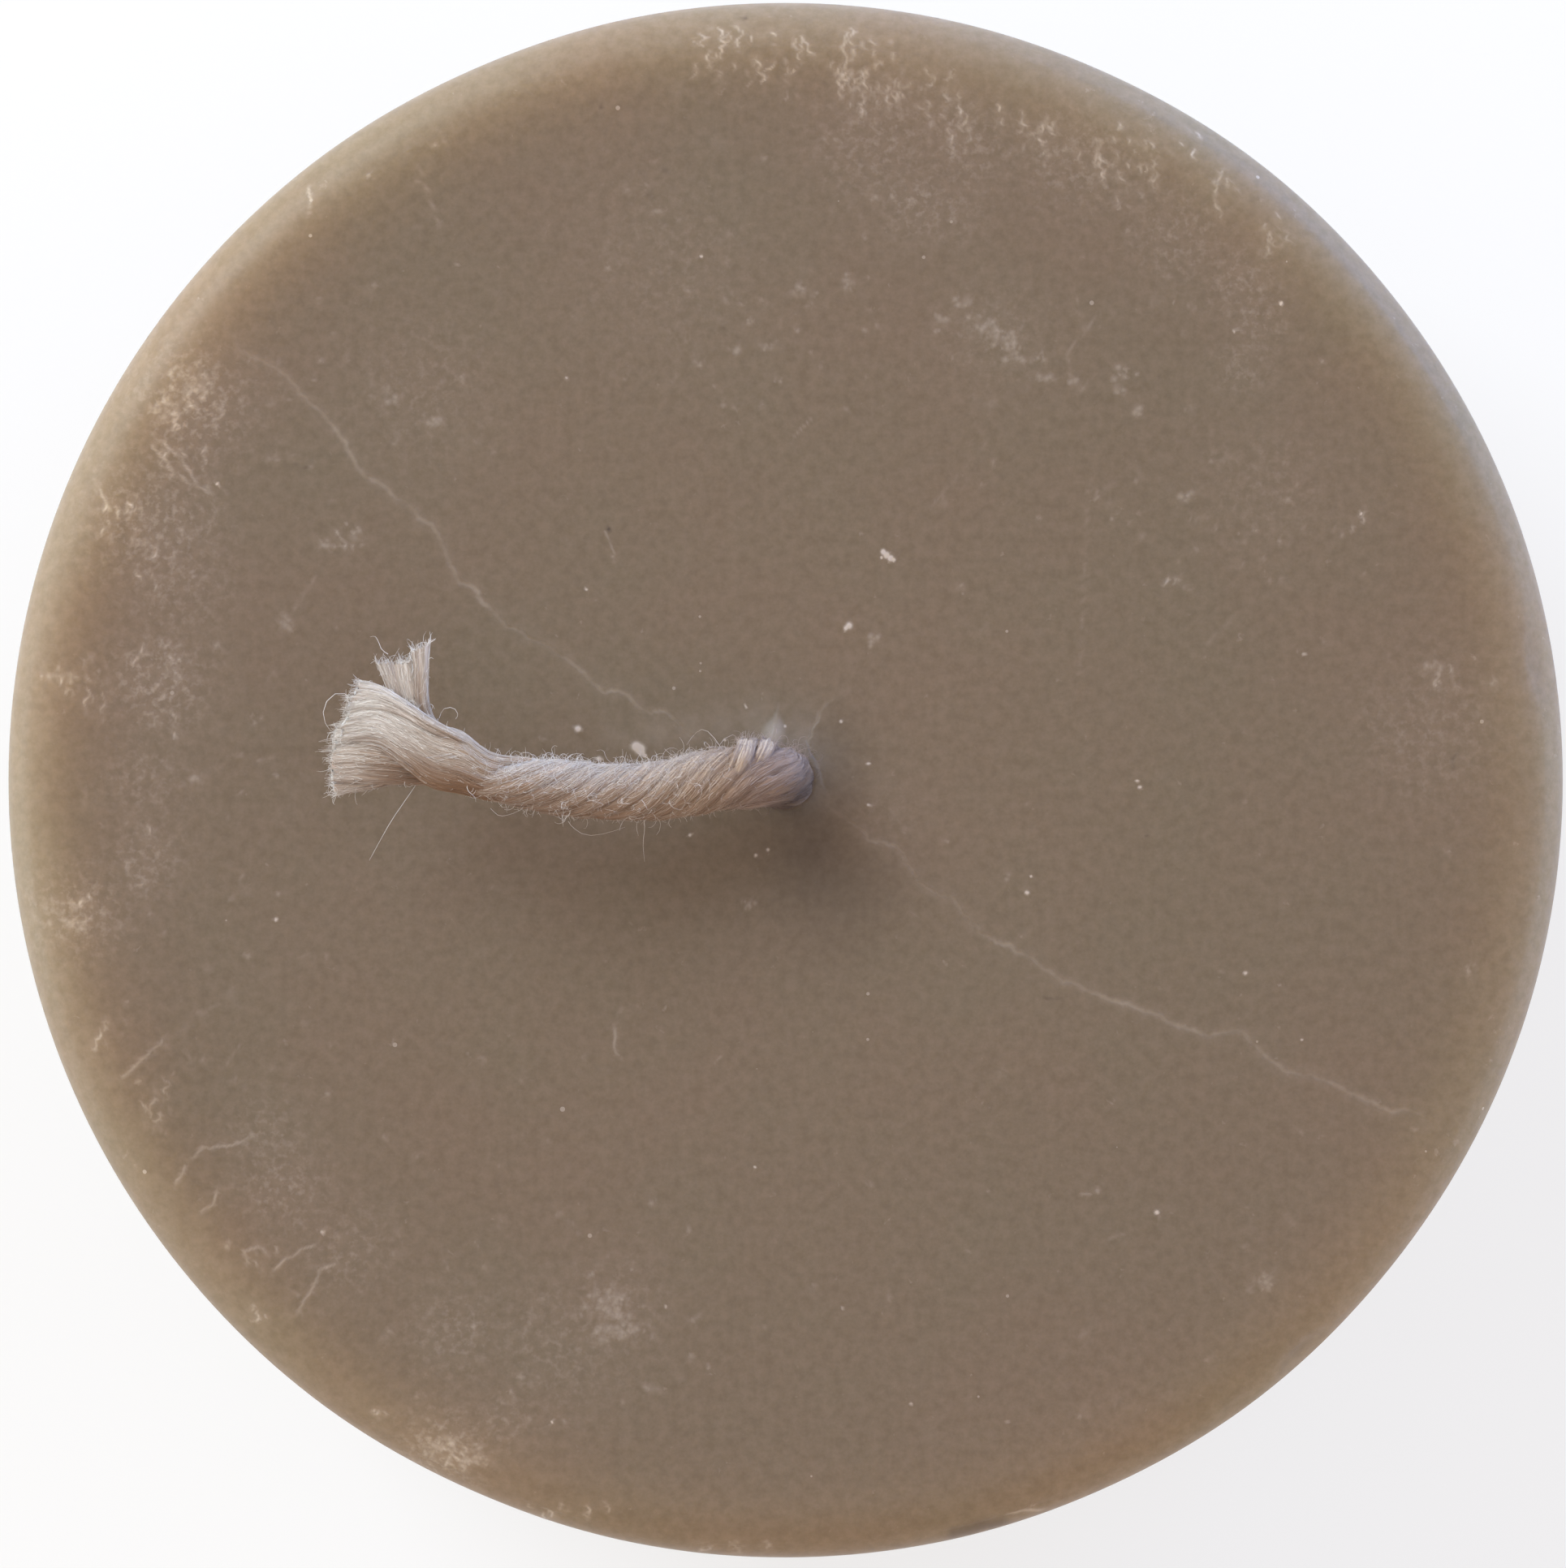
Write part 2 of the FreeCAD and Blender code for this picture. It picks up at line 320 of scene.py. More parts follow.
def curls(x, y, half_wide, half_high, count, long, seed):
    """Curls of one cluster. Half of them are small hooks that start downwards and turn to the left, and the
    rest run down the picture and sway: heading = down + tilt + bow * run + sway * sin(run / wave)."""
    rng = np.random.default_rng(seed)
    each = (count, 1)
    hook = rng.uniform(size=each) < 0.5
    hook_length, sway_length = rng.uniform(7, 20, each), rng.gamma(4, long / 3, each).clip(8, 2.8 * long)
    length = np.where(hook, hook_length, sway_length)
    run = length * np.linspace(0, 1, CURL_STEPS)
    tilt = np.where(hook, rng.normal(-0.5, 0.4, each), rng.normal(0, 0.25, each))
    bow = np.where(hook, rng.uniform(0.05, 0.19, each), 0)
    sway = rng.uniform(0.6, 1.3, each) * np.sin(run / rng.uniform(2.2, 4.5, each) + rng.uniform(0, 6, each))
    heading = math.pi / 2 + tilt + bow * run + np.where(hook, 0.2, 1.0) * sway
    start_x = rng.uniform(-1, 1, count) * half_wide + x
    start_y = rng.uniform(-1, 1, count) * half_high + y
    step = length / CURL_STEPS
    steps = np.stack([np.cos(heading) * step, np.sin(heading) * step], -1)
    path = np.stack([start_x, start_y], -1)[:, None] + np.cumsum(steps, 1)
    points = seen_at(path[..., 0], path[..., 1]).reshape(-1, 2)
    peak = rng.gamma(2.5, 0.14, each).clip(0.12, 0.62)
    strength = peak * np.sin(np.linspace(0.6, 2.9, CURL_STEPS)) * (1 + 0.4 * np.sin(run / 3 + tilt * 9))
    strength = strength.ravel()
    stamp("pale", points, 0.045, strength)
    stamp("pale", points, 0.2, 0.13 * strength)
    stamp("ridge", points, 0.08, 0.02 * strength)


def stroke(pixels, strength, width, seed):
    """One mark along its own course, of uneven paleness."""
    points, t = walk(course_at(pixels), jitter=0.07, grain=0.25, seed=seed)
    ends = np.clip(np.minimum(t, t[-1] - t) / 0.3, 0.3, 1)
    stamp("pale", points, width, strength * (0.75 + 0.35 * line_noise(t / 0.3, 2.5, seed + 1)) * ends)
    stamp("ridge", points, 0.09, 0.03 * strength)


for number, cluster in enumerate(CRAZING):
    curls(*cluster, 200 + number)
for number, pixels in enumerate(STROKES):
    stroke(pixels, 0.5, 0.06, 300 + number)
print("curls:", sum(cluster[4] for cluster in CRAZING), "strokes:", len(STROKES))

# %% [markdown]
# ## Frost, bloom, scratches and dirt
# Frost is a patch of tiny white crystals on the skin, and clots are smaller patches that lie
# scattered. Bloom is a thin haze of them over a broad area. Scratches are straight and faint. The
# dark marks are two or three short hairs, a fine ring of hair, a few specks, and a smudge on the
# rim. Crumbs of pale wax have stuck to the top, one of them a small flake like a teardrop. Each row
# starts with a pixel of the photograph. Sizes of areas are in pixels, and those of
# specks, crumbs and drops in millimetres.

# %% Frost and bloom
# Middle, half width and half height
FROST = [
    (1187, 374, 9, 8), (1161, 393, 9, 6), (1212, 398, 16, 8), (1228, 412, 18, 9), (1246, 424, 14, 8),
    (1258, 443, 22, 5), (1288, 465, 10, 3), (1322, 470, 8, 3), (1382, 458, 7, 9), (1380, 480, 8, 5),
    (1401, 507, 4, 6), (404, 672, 9, 6), (436, 660, 9, 9), (352, 766, 8, 12), (243, 960, 9, 6),
    (548, 1782, 30, 12), (585, 1800, 30, 8), (985, 358, 6, 7), (1045, 348, 6, 8), (945, 428, 8, 4),
    (908, 431, 5, 3), (240, 478, 26, 18), (206, 505, 22, 12), (535, 520, 10, 4), (484, 492, 6, 4),
    (1460, 612, 8, 8), (1560, 1580, 14, 12), (752, 1606, 22, 20), (922, 1114, 6, 6), (1770, 822, 10, 6),
    (80, 832, 26, 6), (92, 1138, 22, 6), (1076, 790, 5, 5), (760, 1640, 30, 10),
]
# Middle, reach and strength
BLOOM = [
    (1130, 252, 42, 0.55), (1180, 262, 34, 0.4), (1080, 175, 80, 0.4), (1190, 180, 60, 0.4),
    (1325, 200, 70, 0.4), (1450, 290, 60, 0.4), (1530, 350, 44, 0.5), (1552, 400, 30, 0.5),
    (1530, 450, 36, 0.4), (240, 500, 70, 0.65), (190, 640, 80, 0.6), (215, 720, 70, 0.4),
    (195, 840, 60, 0.65), (180, 960, 50, 0.4), (180, 1060, 46, 0.5), (100, 1125, 60, 0.5),
    (330, 1400, 50, 0.4), (350, 1460, 60, 0.45), (430, 1540, 60, 0.35), (560, 1640, 60, 0.4),
    (690, 1660, 90, 0.3), (545, 1785, 50, 0.7), (760, 1610, 60, 0.3), (1100, 1000, 40, 0.15),
    (1760, 900, 90, 0.3), (1560, 600, 80, 0.22), (820, 320, 120, 0.2), (520, 480, 90, 0.25),
    (620, 1750, 40, 0.4), (1225, 415, 70, 0.25),
]
# Middle, half width, half height and count
CLOTS = [
    (960, 420, 140, 90, 26), (1320, 440, 180, 70, 14), (1480, 640, 140, 90, 26), (1230, 600, 70, 50, 6),
    (460, 500, 170, 70, 22), (1780, 850, 60, 80, 12), (330, 930, 90, 90, 14), (560, 1620, 300, 150, 60),
    (1640, 1560, 130, 170, 16), (1150, 320, 320, 170, 26), (700, 330, 300, 170, 22),
    (260, 1260, 160, 170, 30), (967, 961, 880, 880, 150),
]
CLOT_FIELD = 900


def frost(x, y, half_wide, half_high, seed):
    """Small round stamps scattered over an ellipse, some bigger and whiter."""
    rng = np.random.default_rng(seed)
    count = int(6 + 0.16 * half_wide * half_high)
    pixels = np.stack([rng.normal(x, 0.55 * half_wide, count), rng.normal(y, 0.55 * half_high, count)])
    stamp("pale", seen_at(*pixels), rng.uniform(0.05, 0.14, count), rng.uniform(0.08, 0.42, count))
    stamp("ridge", seen_at(*pixels), 0.08, 0.015)


def clots(x, y, half_wide, half_high, count, seed):
    """Small clots of crystals, each two to five stamps within a few pixels of its own middle."""
    rng = np.random.default_rng(seed)
    middle = np.stack([rng.uniform(-1, 1, count) * half_wide + x, rng.uniform(-1, 1, count) * half_high + y])
    middle = middle[:, np.hypot(middle[0] - VIEW_CENTRE[0], middle[1] - VIEW_CENTRE[1]) < CLOT_FIELD]
    parts = np.repeat(middle, rng.integers(2, 6, middle.shape[1]), axis=1)
    parts = parts + rng.normal(0, 2.6, parts.shape)
    radius = rng.uniform(0.04, 0.11, parts.shape[1])
    stamp("pale", seen_at(*parts), radius, rng.gamma(2.2, 0.07, parts.shape[1]).clip(0.05, 0.4))


def dabs(layer, rows):
    """One stamp for each row of a pixel, a radius in millimetres and a strength."""
    for x, y, radius, strength in rows:
        stamp(layer, seen_at(x, y), radius, strength)


for number, patch in enumerate(FROST):
    frost(*patch, 400 + number)
for number, area in enumerate(CLOTS):
    clots(*area, 450 + number)
for x, y, reach, strength in BLOOM:
    stamp("bloom", seen_at(x, y), reach * PIXEL, strength)
print("frosted patches:", len(FROST), "areas with clots:", len(CLOTS), "bloomed areas:", len(BLOOM))

# %% Scratches, dirt and crumbs
# Course and strength
SCRATCHES = [
    ([(500, 186), (520, 216), (540, 275)], 0.3), ([(1310, 440), (1356, 385)], 0.25),
    ([(1150, 620), (1220, 540)], 0.18), ([(1341, 590), (1336, 700), (1330, 832)], 0.18),
    ([(976, 540), (1000, 515)], 0.35), ([(1465, 815), (1530, 750)], 0.2),
    ([(150, 1330), (262, 1240), (390, 1168)], 0.16), ([(346, 775), (396, 700)], 0.22),
    ([(650, 1640), (655, 1610)], 0.25), ([(384, 950), (330, 1030), (300, 1100)], 0.14),
    ([(1331, 1471), (1345, 1471)], 0.4), ([(1362, 1528), (1384, 1520)], 0.3),
    ([(880, 1310), (888, 1302)], 0.35), ([(746, 655), (757, 682)], 0.4),
    ([(280, 1310), (296, 1288)], 0.22),
]
HAIRS = [
    [(363, 572), (370, 579), (381, 574), (384, 566)], [(1284, 1228), (1292, 1231), (1306, 1230)],
    [(1790, 948), (1788, 936), (1800, 926)],
]
# Middle and reach
HAIR_RING = (812, 226, 20)
# Place, radius and strength
SPECKS = [
    (750, 652, 0.10, 0.8), (918, 22, 0.09, 0.7), (741, 132, 0.06, 0.6), (890, 403, 0.06, 0.6),
    (1412, 1030, 0.06, 0.5), (905, 1600, 0.05, 0.5),
]
SMUDGE = [(1178, 1893), (1196, 1886), (1215, 1880), (1236, 1880)]
# Place and radius
CRUMBS = [
    (738, 935, 0.11), (712, 898, 0.14), (1046, 771, 0.14), (1042, 774, 0.10), (1265, 1100, 0.09),
    (1270, 1080, 0.05), (1534, 1199, 0.08), (1425, 1494, 0.1), (1578, 374, 0.09), (340, 1133, 0.08),
    (1404, 970, 0.07), (1400, 962, 0.05), (919, 871, 0.06), (1036, 889, 0.07), (967, 895, 0.06),
    (893, 912, 0.06), (1069, 941, 0.06), (1070, 992, 0.06), (946, 1047, 0.07), (931, 1054, 0.07),
    (850, 1029, 0.07), (698, 466, 0.05), (722, 726, 0.06), (864, 316, 0.06), (1122, 1730, 0.06),
    (1676, 633, 0.06), (1606, 806, 0.06), (1603, 1281, 0.05), (930, 1438, 0.05), (397, 1518, 0.07),
    (1038, 1612, 0.05), (268, 596, 0.07), (820, 1610, 0.05), (1520, 408, 0.06), (1240, 1752, 0.05),
    (680, 1752, 0.06),
]
TEARDROP = [(784, 920, 0.2), (788, 923, 0.22), (790, 927, 0.15), (794, 931, 0.08)]
FLAKE = [(1088, 680, 0.10), (1092, 684, 0.13), (1097, 688, 0.12), (1101, 690, 0.07), (1086, 687, 0.05)]

for number, (pixels, strength) in enumerate(SCRATCHES):
    points, t = walk(course_at(pixels), jitter=0.02, grain=0.8, seed=500 + number)
    stamp("pale", points, 0.045, strength * (0.8 + 0.3 * line_noise(t / 0.5, 1.5, 520 + number)))
    stamp("groove", points, 0.05, 0.01)
for number, pixels in enumerate(HAIRS):
    stamp("dark", walk(course_at(pixels), seed=540 + number)[0], 0.035, 0.5)
ring = np.linspace(0, 6.0, 90)
ring_x, ring_y, ring_reach = HAIR_RING
coil = ring_x + ring_reach * np.cos(ring) * (1 + 0.03 * ring), ring_y + ring_reach * 0.85 * np.sin(ring)
stamp("dark", seen_at(*coil), 0.03, 0.3)
dabs("dark", SPECKS)
stamp("dark", walk(course_at(SMUDGE), jitter=0.1, seed=560)[0], 0.34, 0.5)
for x, y, radius in CRUMBS:
    stamp("pale", seen_at(x, y), 0.75 * radius, 2.2)
    stamp("ridge", seen_at(x, y), radius, 0.8 * radius)
for x, y, radius in TEARDROP + FLAKE:
    stamp("pale", seen_at(x, y), 0.8 * radius, 3.0)
    stamp("ridge", seen_at(x, y), radius, 0.09)
print("scratches:", len(SCRATCHES), "crumbs:", len(CRUMBS))

# %% [markdown]
# ## The wax round the wick's foot
# Where the wick comes out the wax has drawn away from the short crack: its left side stands a
# little proud and its right side is lower. The left side is painted paler, a painted highlight for
# the light that gets under it, and the right side is painted darker, a painted shade. A drop of clear
# wax hangs on the wick's far side. A strip of painted light runs along the cord's upper side, and
# painted shadow darkens the notch before the wick and the wax to the lower right of the foot.

# %% Round the foot
# Place, radius and rise
FOOT_DROP = [
    (952, 914, 0.42, 0.3), (955, 904, 0.4, 0.28), (956, 896, 0.32, 0.21), (957, 888, 0.18, 0.1),
    (958, 879, 0.1, 0.05), (959, 871, 0.07, 0.03),
]
# Painted light: a pale strip on the wax along the cord's upper side.
# Place, radius and strength
CORD_SIDE_GLOW = [
    (700, 914, 0.5, 0.05), (760, 908, 0.7, 0.09), (810, 904, 0.8, 0.14), (850, 900, 0.8, 0.16),
    (890, 892, 0.8, 0.15), (930, 882, 0.9, 0.12),
]
# Painted shadow in the notch under the wick's foot.
FOOT_NOTCH_SHADOW = [(984, 984), (990, 1004), (998, 1022)]
# Painted shadow: where the wick's shadow falls on the wax to the lower right of the foot.
FOOT_SHADOW = [
    (994, 1012, 1.2, 0.34), (1000, 1046, 1.7, 0.36), (1014, 1078, 2.2, 0.30), (1050, 1092, 2.2, 0.24),
    (1030, 1120, 2.2, 0.18),
]
FOOT_REACH = 6


def foot_wax():
    """Adds to the canvas on one side of the short crack: a falling share with the distance from the foot
    times a step across the crack's line. That side is raised and painted paler, a painted highlight,
    and the other side is painted darker, a painted shade."""
    span = slice(int((HALF - FOOT_REACH) / CELL), int((HALF + FOOT_REACH) / CELL))
    y, x = (np.mgrid[0:side, 0:side] * CELL - HALF)[:, span, span]
    line = course_at(SHORT_CRACK)[::-1]
    crack_x = np.interp(y, line[:, 1], line[:, 0])
    left = ease(x, crack_x + 0.06, crack_x - 0.06)
    near = np.exp(-((x - 1.1) ** 2 + (y - 1.4) ** 2) / 1.7**2)
    beside = np.exp(-((x - 2.2) ** 2 / 1.6**2 + (y - 0.6) ** 2 / 3.0**2))
    # Painted highlight on the raised left side, painted shade on the lower right side.
    added = {"pale": 0.09 * near * left, "ridge": 0.05 * near * left, "dark": 0.16 * beside * (1 - left)}
    for layer, value in added.items():
        canvas[layer][span, span] = np.maximum(canvas[layer][span, span], value)


def foot_drop():
    """The drop hangs along its course, and its haze is as wide as the drop is."""
    at = np.linspace(0, 1, 40) * (len(FOOT_DROP) - 1)
    x, y, radius, rise = (np.interp(at, range(len(FOOT_DROP)), column) for column in np.array(FOOT_DROP).T)
    stamp("ridge", seen_at(x, y), radius, rise)
    stamp("pale", seen_at(x, y), radius * 1.05, 0.06 + 0.62 * radius)


foot_wax()
foot_drop()
# Painted shadow in the notch and to the lower right of the foot, and painted light along the cord.
stamp("dark", course_at(FOOT_NOTCH_SHADOW), 0.75, 0.3)
dabs("dark", FOOT_SHADOW)
dabs("pale", CORD_SIDE_GLOW)
print("wax raised round the foot, mm:", round(float(canvas["ridge"].max()), 2))

# %% [markdown]
# ## The wax body
# The real body is cast in a tube, so it is round with a straight wall, and its rim was smoothed
# while it was warm. A lathe-like sweep of one half section gives that: the section goes up the
# bore of the wick, over the wax that was drawn up round it, across the top, round the two arcs of
# the rim, down the wall, over the small bevel of the foot and back under the base. The grid closes
# both ways, so there is no pole. Where the canvas holds a mark the faces are split again and
# again, so that the grooves are real and the rest stays light.

# %% The half section
BODY_RADIUS = 34.985
BODY_HEIGHT = 100.0
RIM_SIDE_RADIUS = 1.8
RIM_TOP_RADIUS = 2.6
FOOT_BEVEL = 0.8
BORE_RADIUS = 1.22
MOUND_REACH = 2.4
MOUND_RISE = 0.48
RIM_JOIN = math.radians(45)
side_r = BODY_RADIUS - RIM_SIDE_RADIUS
side_z = BODY_HEIGHT - RIM_TOP_RADIUS + (RIM_TOP_RADIUS - RIM_SIDE_RADIUS) * math.sin(RIM_JOIN)


def section_runs():
    """The half section as runs of (radius, height, rings), each given by many points."""
    top_r = side_r - (RIM_TOP_RADIUS - RIM_SIDE_RADIUS) * math.cos(RIM_JOIN)
    top_z = BODY_HEIGHT - RIM_TOP_RADIUS
    mound_end = BORE_RADIUS + MOUND_REACH
    mound_radius = (MOUND_REACH**2 + MOUND_RISE**2) / (2 * MOUND_RISE)
    mound_r = np.linspace(BORE_RADIUS, mound_end, 60)
    mound_z = BODY_HEIGHT + mound_radius - np.sqrt(mound_radius**2 - (mound_end - mound_r) ** 2)
    top_turn = np.linspace(math.pi / 2, RIM_JOIN, 60)
    side_turn = np.linspace(RIM_JOIN, 0, 60)
    straight = lambda a, b: (np.linspace(a[0], b[0], 60), np.linspace(a[1], b[1], 60))
    return [
        (*straight((BORE_RADIUS, 0), (BORE_RADIUS, BODY_HEIGHT + MOUND_RISE)), 4),
        (mound_r, mound_z, 10),
        (*straight((mound_end, BODY_HEIGHT), (top_r, BODY_HEIGHT)), 46),
        (top_r + RIM_TOP_RADIUS * np.cos(top_turn), top_z + RIM_TOP_RADIUS * np.sin(top_turn), 7),
        (side_r + RIM_SIDE_RADIUS * np.cos(side_turn), side_z + RIM_SIDE_RADIUS * np.sin(side_turn), 6),
        (*straight((BODY_RADIUS, side_z), (BODY_RADIUS, FOOT_BEVEL)), 24),
        (*straight((BODY_RADIUS, FOOT_BEVEL), (BODY_RADIUS - FOOT_BEVEL, 0)), 2),
        (*straight((BODY_RADIUS - FOOT_BEVEL, 0), (BORE_RADIUS, 0)), 6),
    ]


runs = section_runs()
section_r = np.concatenate([r[:-1] for r, _, _ in runs] + [[BORE_RADIUS]])
section_z = np.concatenate([z[:-1] for _, z, _ in runs] + [[0.0]])
section_s = np.concatenate([[0], np.cumsum(np.hypot(np.diff(section_r), np.diff(section_z)))])
run_starts = np.concatenate([[0], np.cumsum([np.hypot(np.diff(r), np.diff(z)).sum() for r, z, _ in runs])])
mound_from, side_arc_from, wall_from, wall_to = run_starts[[1, 4, 5, 6]]
ring_s = np.concatenate([
    np.linspace(start, end, rings, endpoint=False)
    for start, end, (_, _, rings) in zip(run_starts, run_starts[1:], runs)
])
print("length of the half section, mm:", round(float(section_s[-1]), 1), "rings:", len(ring_s))


def on_section(s):
    """Radius, height and outward normal of the half section at each run length s."""
    slope_r = np.gradient(section_r, section_s)
    slope_z = np.gradient(section_z, section_s)
    r, z = np.interp(s, section_s, section_r), np.interp(s, section_s, section_z)
    along_r, along_z = np.interp(s, section_s, slope_r), np.interp(s, section_s, slope_z)
    size = np.hypot(along_r, along_z)
    return r, z, -along_z / size, along_r / size


# %% Split the grid where there are marks
COLUMNS = 288
SPLITS = [(0.36, 0.13), (0.16, 0.16), (0.07, 0.28)]


def near_marks(reach, faintest):
    """Which canvas cells have a mark within reach that isn't fainter than faintest: the sum over a square
    window round the cell isn't zero."""
    marked = (canvas["pale"] > faintest) | (canvas["groove"] > 0.02) | (canvas["dark"] > 2 * faintest)
    n = round(reach / CELL)
    total = np.pad(marked.astype(np.int32), ((n + 1, n), (n + 1, n))).cumsum(0).cumsum(1)
    w = 2 * n + 1
    return total[w:, w:] - total[:-w, w:] - total[w:, :-w] + total[:-w, :-w] > 0


def read_canvas(layer, x, y):
    """The canvas between its cells: the four nearest cells, each weighed by how near it is."""
    u = np.clip((x + HALF) / CELL, 0, side - 1.001)
    v = np.clip((y + HALF) / CELL, 0, side - 1.001)
    i, j = v.astype(int), u.astype(int)
    a, b = v - i, u - j
    c = canvas[layer]
    return between(c[i, j], c[i, j + 1], c[i + 1, j], c[i + 1, j + 1], a, b)


def split_marked_faces(mesh, rounds):
    """Splits the faces of the top that lie near a mark, once for each reach and faintest mark. Their run
    length is kept in an attribute, which Blender averages at each new point."""
    for reach, faintest in rounds:
        centres = array_of(mesh.polygons, "center", 3)[:, :2] / MM
        cells = np.clip(((centres + HALF) / CELL).round().astype(int), 0, side - 1)
        first_corner = array_of(mesh.polygons, "loop_start", kind=np.int32)
        first_point = array_of(mesh.loops, "vertex_index", kind=np.int32)[first_corner]
        run = array_of(mesh.attributes["run"].data, "value")[first_point]
        on_top = (run > mound_from) & (run < wall_from)
        chosen = near_marks(reach, faintest)[cells[:, 1], cells[:, 0]] & on_top
        corners = np.repeat(chosen, array_of(mesh.polygons, "loop_total", kind=np.int32))
        marked = np.unique(array_of(mesh.loops, "edge_index", kind=np.int32)[corners])
        grid = bmesh.new()
        grid.from_mesh(mesh)
        grid.edges.ensure_lookup_table()
        edges = [grid.edges[number] for number in marked]
        bmesh.ops.subdivide_edges(grid, edges=edges, cuts=1, use_grid_fill=True)
        grid.to_mesh(mesh)
        grid.free()


# Angle round the rim, angle up its side arc, radius of the ball and depth
KNOCKS = [
    (8.7, 42.0, 9.0, 0.30), (-47.8, 28.0, 3.0, 0.35), (-54.0, 35.0, 4.0, 0.14), (-8.0, 20.0, 1.6, 0.12),
]


def knock(points, angle, place, radius, depth):
    """Dents the rim as a ball would: a point inside the ball moves straight out to the ball's skin. The
    ball's middle stands off the rim's side arc by its radius less the depth."""
    place, angle = math.radians(place), math.radians(angle)
    reach = RIM_SIDE_RADIUS + radius - depth
    out = side_r + reach * math.cos(place)
    middle = np.array([out * math.cos(angle), out * math.sin(angle), side_z + reach * math.sin(place)])
    away = points - middle
    far = np.linalg.norm(away, axis=1, keepdims=True)
    return np.where(far < radius, middle + away / far * radius, points)


def place_wax_points(mesh):
    """Puts every point on the section at its own run length and turn, then moves it along the surface's
    normal by a long, low swell and by the marks. The marks' colours fade out where the rim meets the wall."""
    place = array_of(mesh.vertices, "co", 3) / MM
    s = array_of(mesh.attributes["run"].data, "value")
    turn = np.arctan2(place[:, 1], place[:, 0])
    r, z, nr, nz = on_section(s.astype(float))
    x, y = r * np.cos(turn), r * np.sin(turn)
    on_top = (s > mound_from) & (s < wall_from)
    on_wall = (s >= side_arc_from) & (s < wall_to)
    swell = np.where(on_top & (r < 33), 0.035 * soft_noise(x / 9 + 40, y / 9 + 40, 5), 0)
    swell = swell - np.where(on_wall, 0.03 + 0.03 * soft_noise(z / 14 + 20, 30 + 5 * np.cos(turn), 6), 0)
    marks = np.where(on_top, read_canvas("ridge", x, y) - read_canvas("groove", x, y), 0)
    r, z = r + (swell + marks) * nr, z + (swell + marks) * nz
    place = np.stack([r * np.cos(turn), r * np.sin(turn), z], -1)
    for dent in KNOCKS:
        place = knock(place, *dent)
    mesh.vertices.foreach_set("co", (place * MM).astype(np.float32).ravel())
    fading = 1 - ease(s, (side_arc_from + wall_from) / 2, wall_from)
    for layer in ("pale", "dark", "bloom"):
        keep_value(mesh, layer, np.where(on_top, read_canvas(layer, x, y) * fading, 0))
    mesh.attributes.remove(mesh.attributes["run"])
    mesh.update()


def make_wax_body():
    """The swept grid: ring r and column c lie at run length s of the ring and turn c / columns."""
    turn = np.linspace(0, 2 * math.pi, COLUMNS, endpoint=False)
    r, z, _, _ = on_section(ring_s)
    r, z = r[:, None], z[:, None]
    points = np.stack(np.broadcast_arrays(r * np.cos(turn), r * np.sin(turn), z), -1)
    wax = mesh_object("wax_body_cast", points.reshape(-1, 3), grid_faces(len(r), COLUMNS, wrap_rows=True))
    keep_value(wax.data, "run", np.repeat(ring_s, COLUMNS))
    split_marked_faces(wax.data, SPLITS)
    place_wax_points(wax.data)
    return wax


wax = make_wax_body()
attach(wax, "root")
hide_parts("wax_body")
print("wax faces:", len(wax.data.polygons), "points:", len(wax.data.vertices))

# %% [markdown]
# ## The wax
# Pillar wax is a blend of paraffin and stearin, dyed through and cast. It is milky: light spreads
# a centimetre or more through it before it comes out again, redder than it went in, so a rim with
# light on its side glows. Its skin is smooth but not polished, and the stearin sets in crystals of
# half a millimetre that mottle it. The Principled shader's subsurface part gives the glow, and the
# patterns below are in real millimetres. In a Mix node, sockets 6 and 7 are its two colours.

# %% Wax material
WAX_DARK = linear("#756654")
WAX_LIGHT = linear("#8B7B6B")
WAX_COOL = linear("#7E715F")
WAX_WARM = linear("#847160")
# Pale of bloom and marks, also used for painted light; dark of dirt, also used for painted shade and shadow.
WAX_BLOOM_AND_LIGHT = linear("#C4B8AE")
WAX_DIRT_AND_SHADE = linear("#4A3E38")


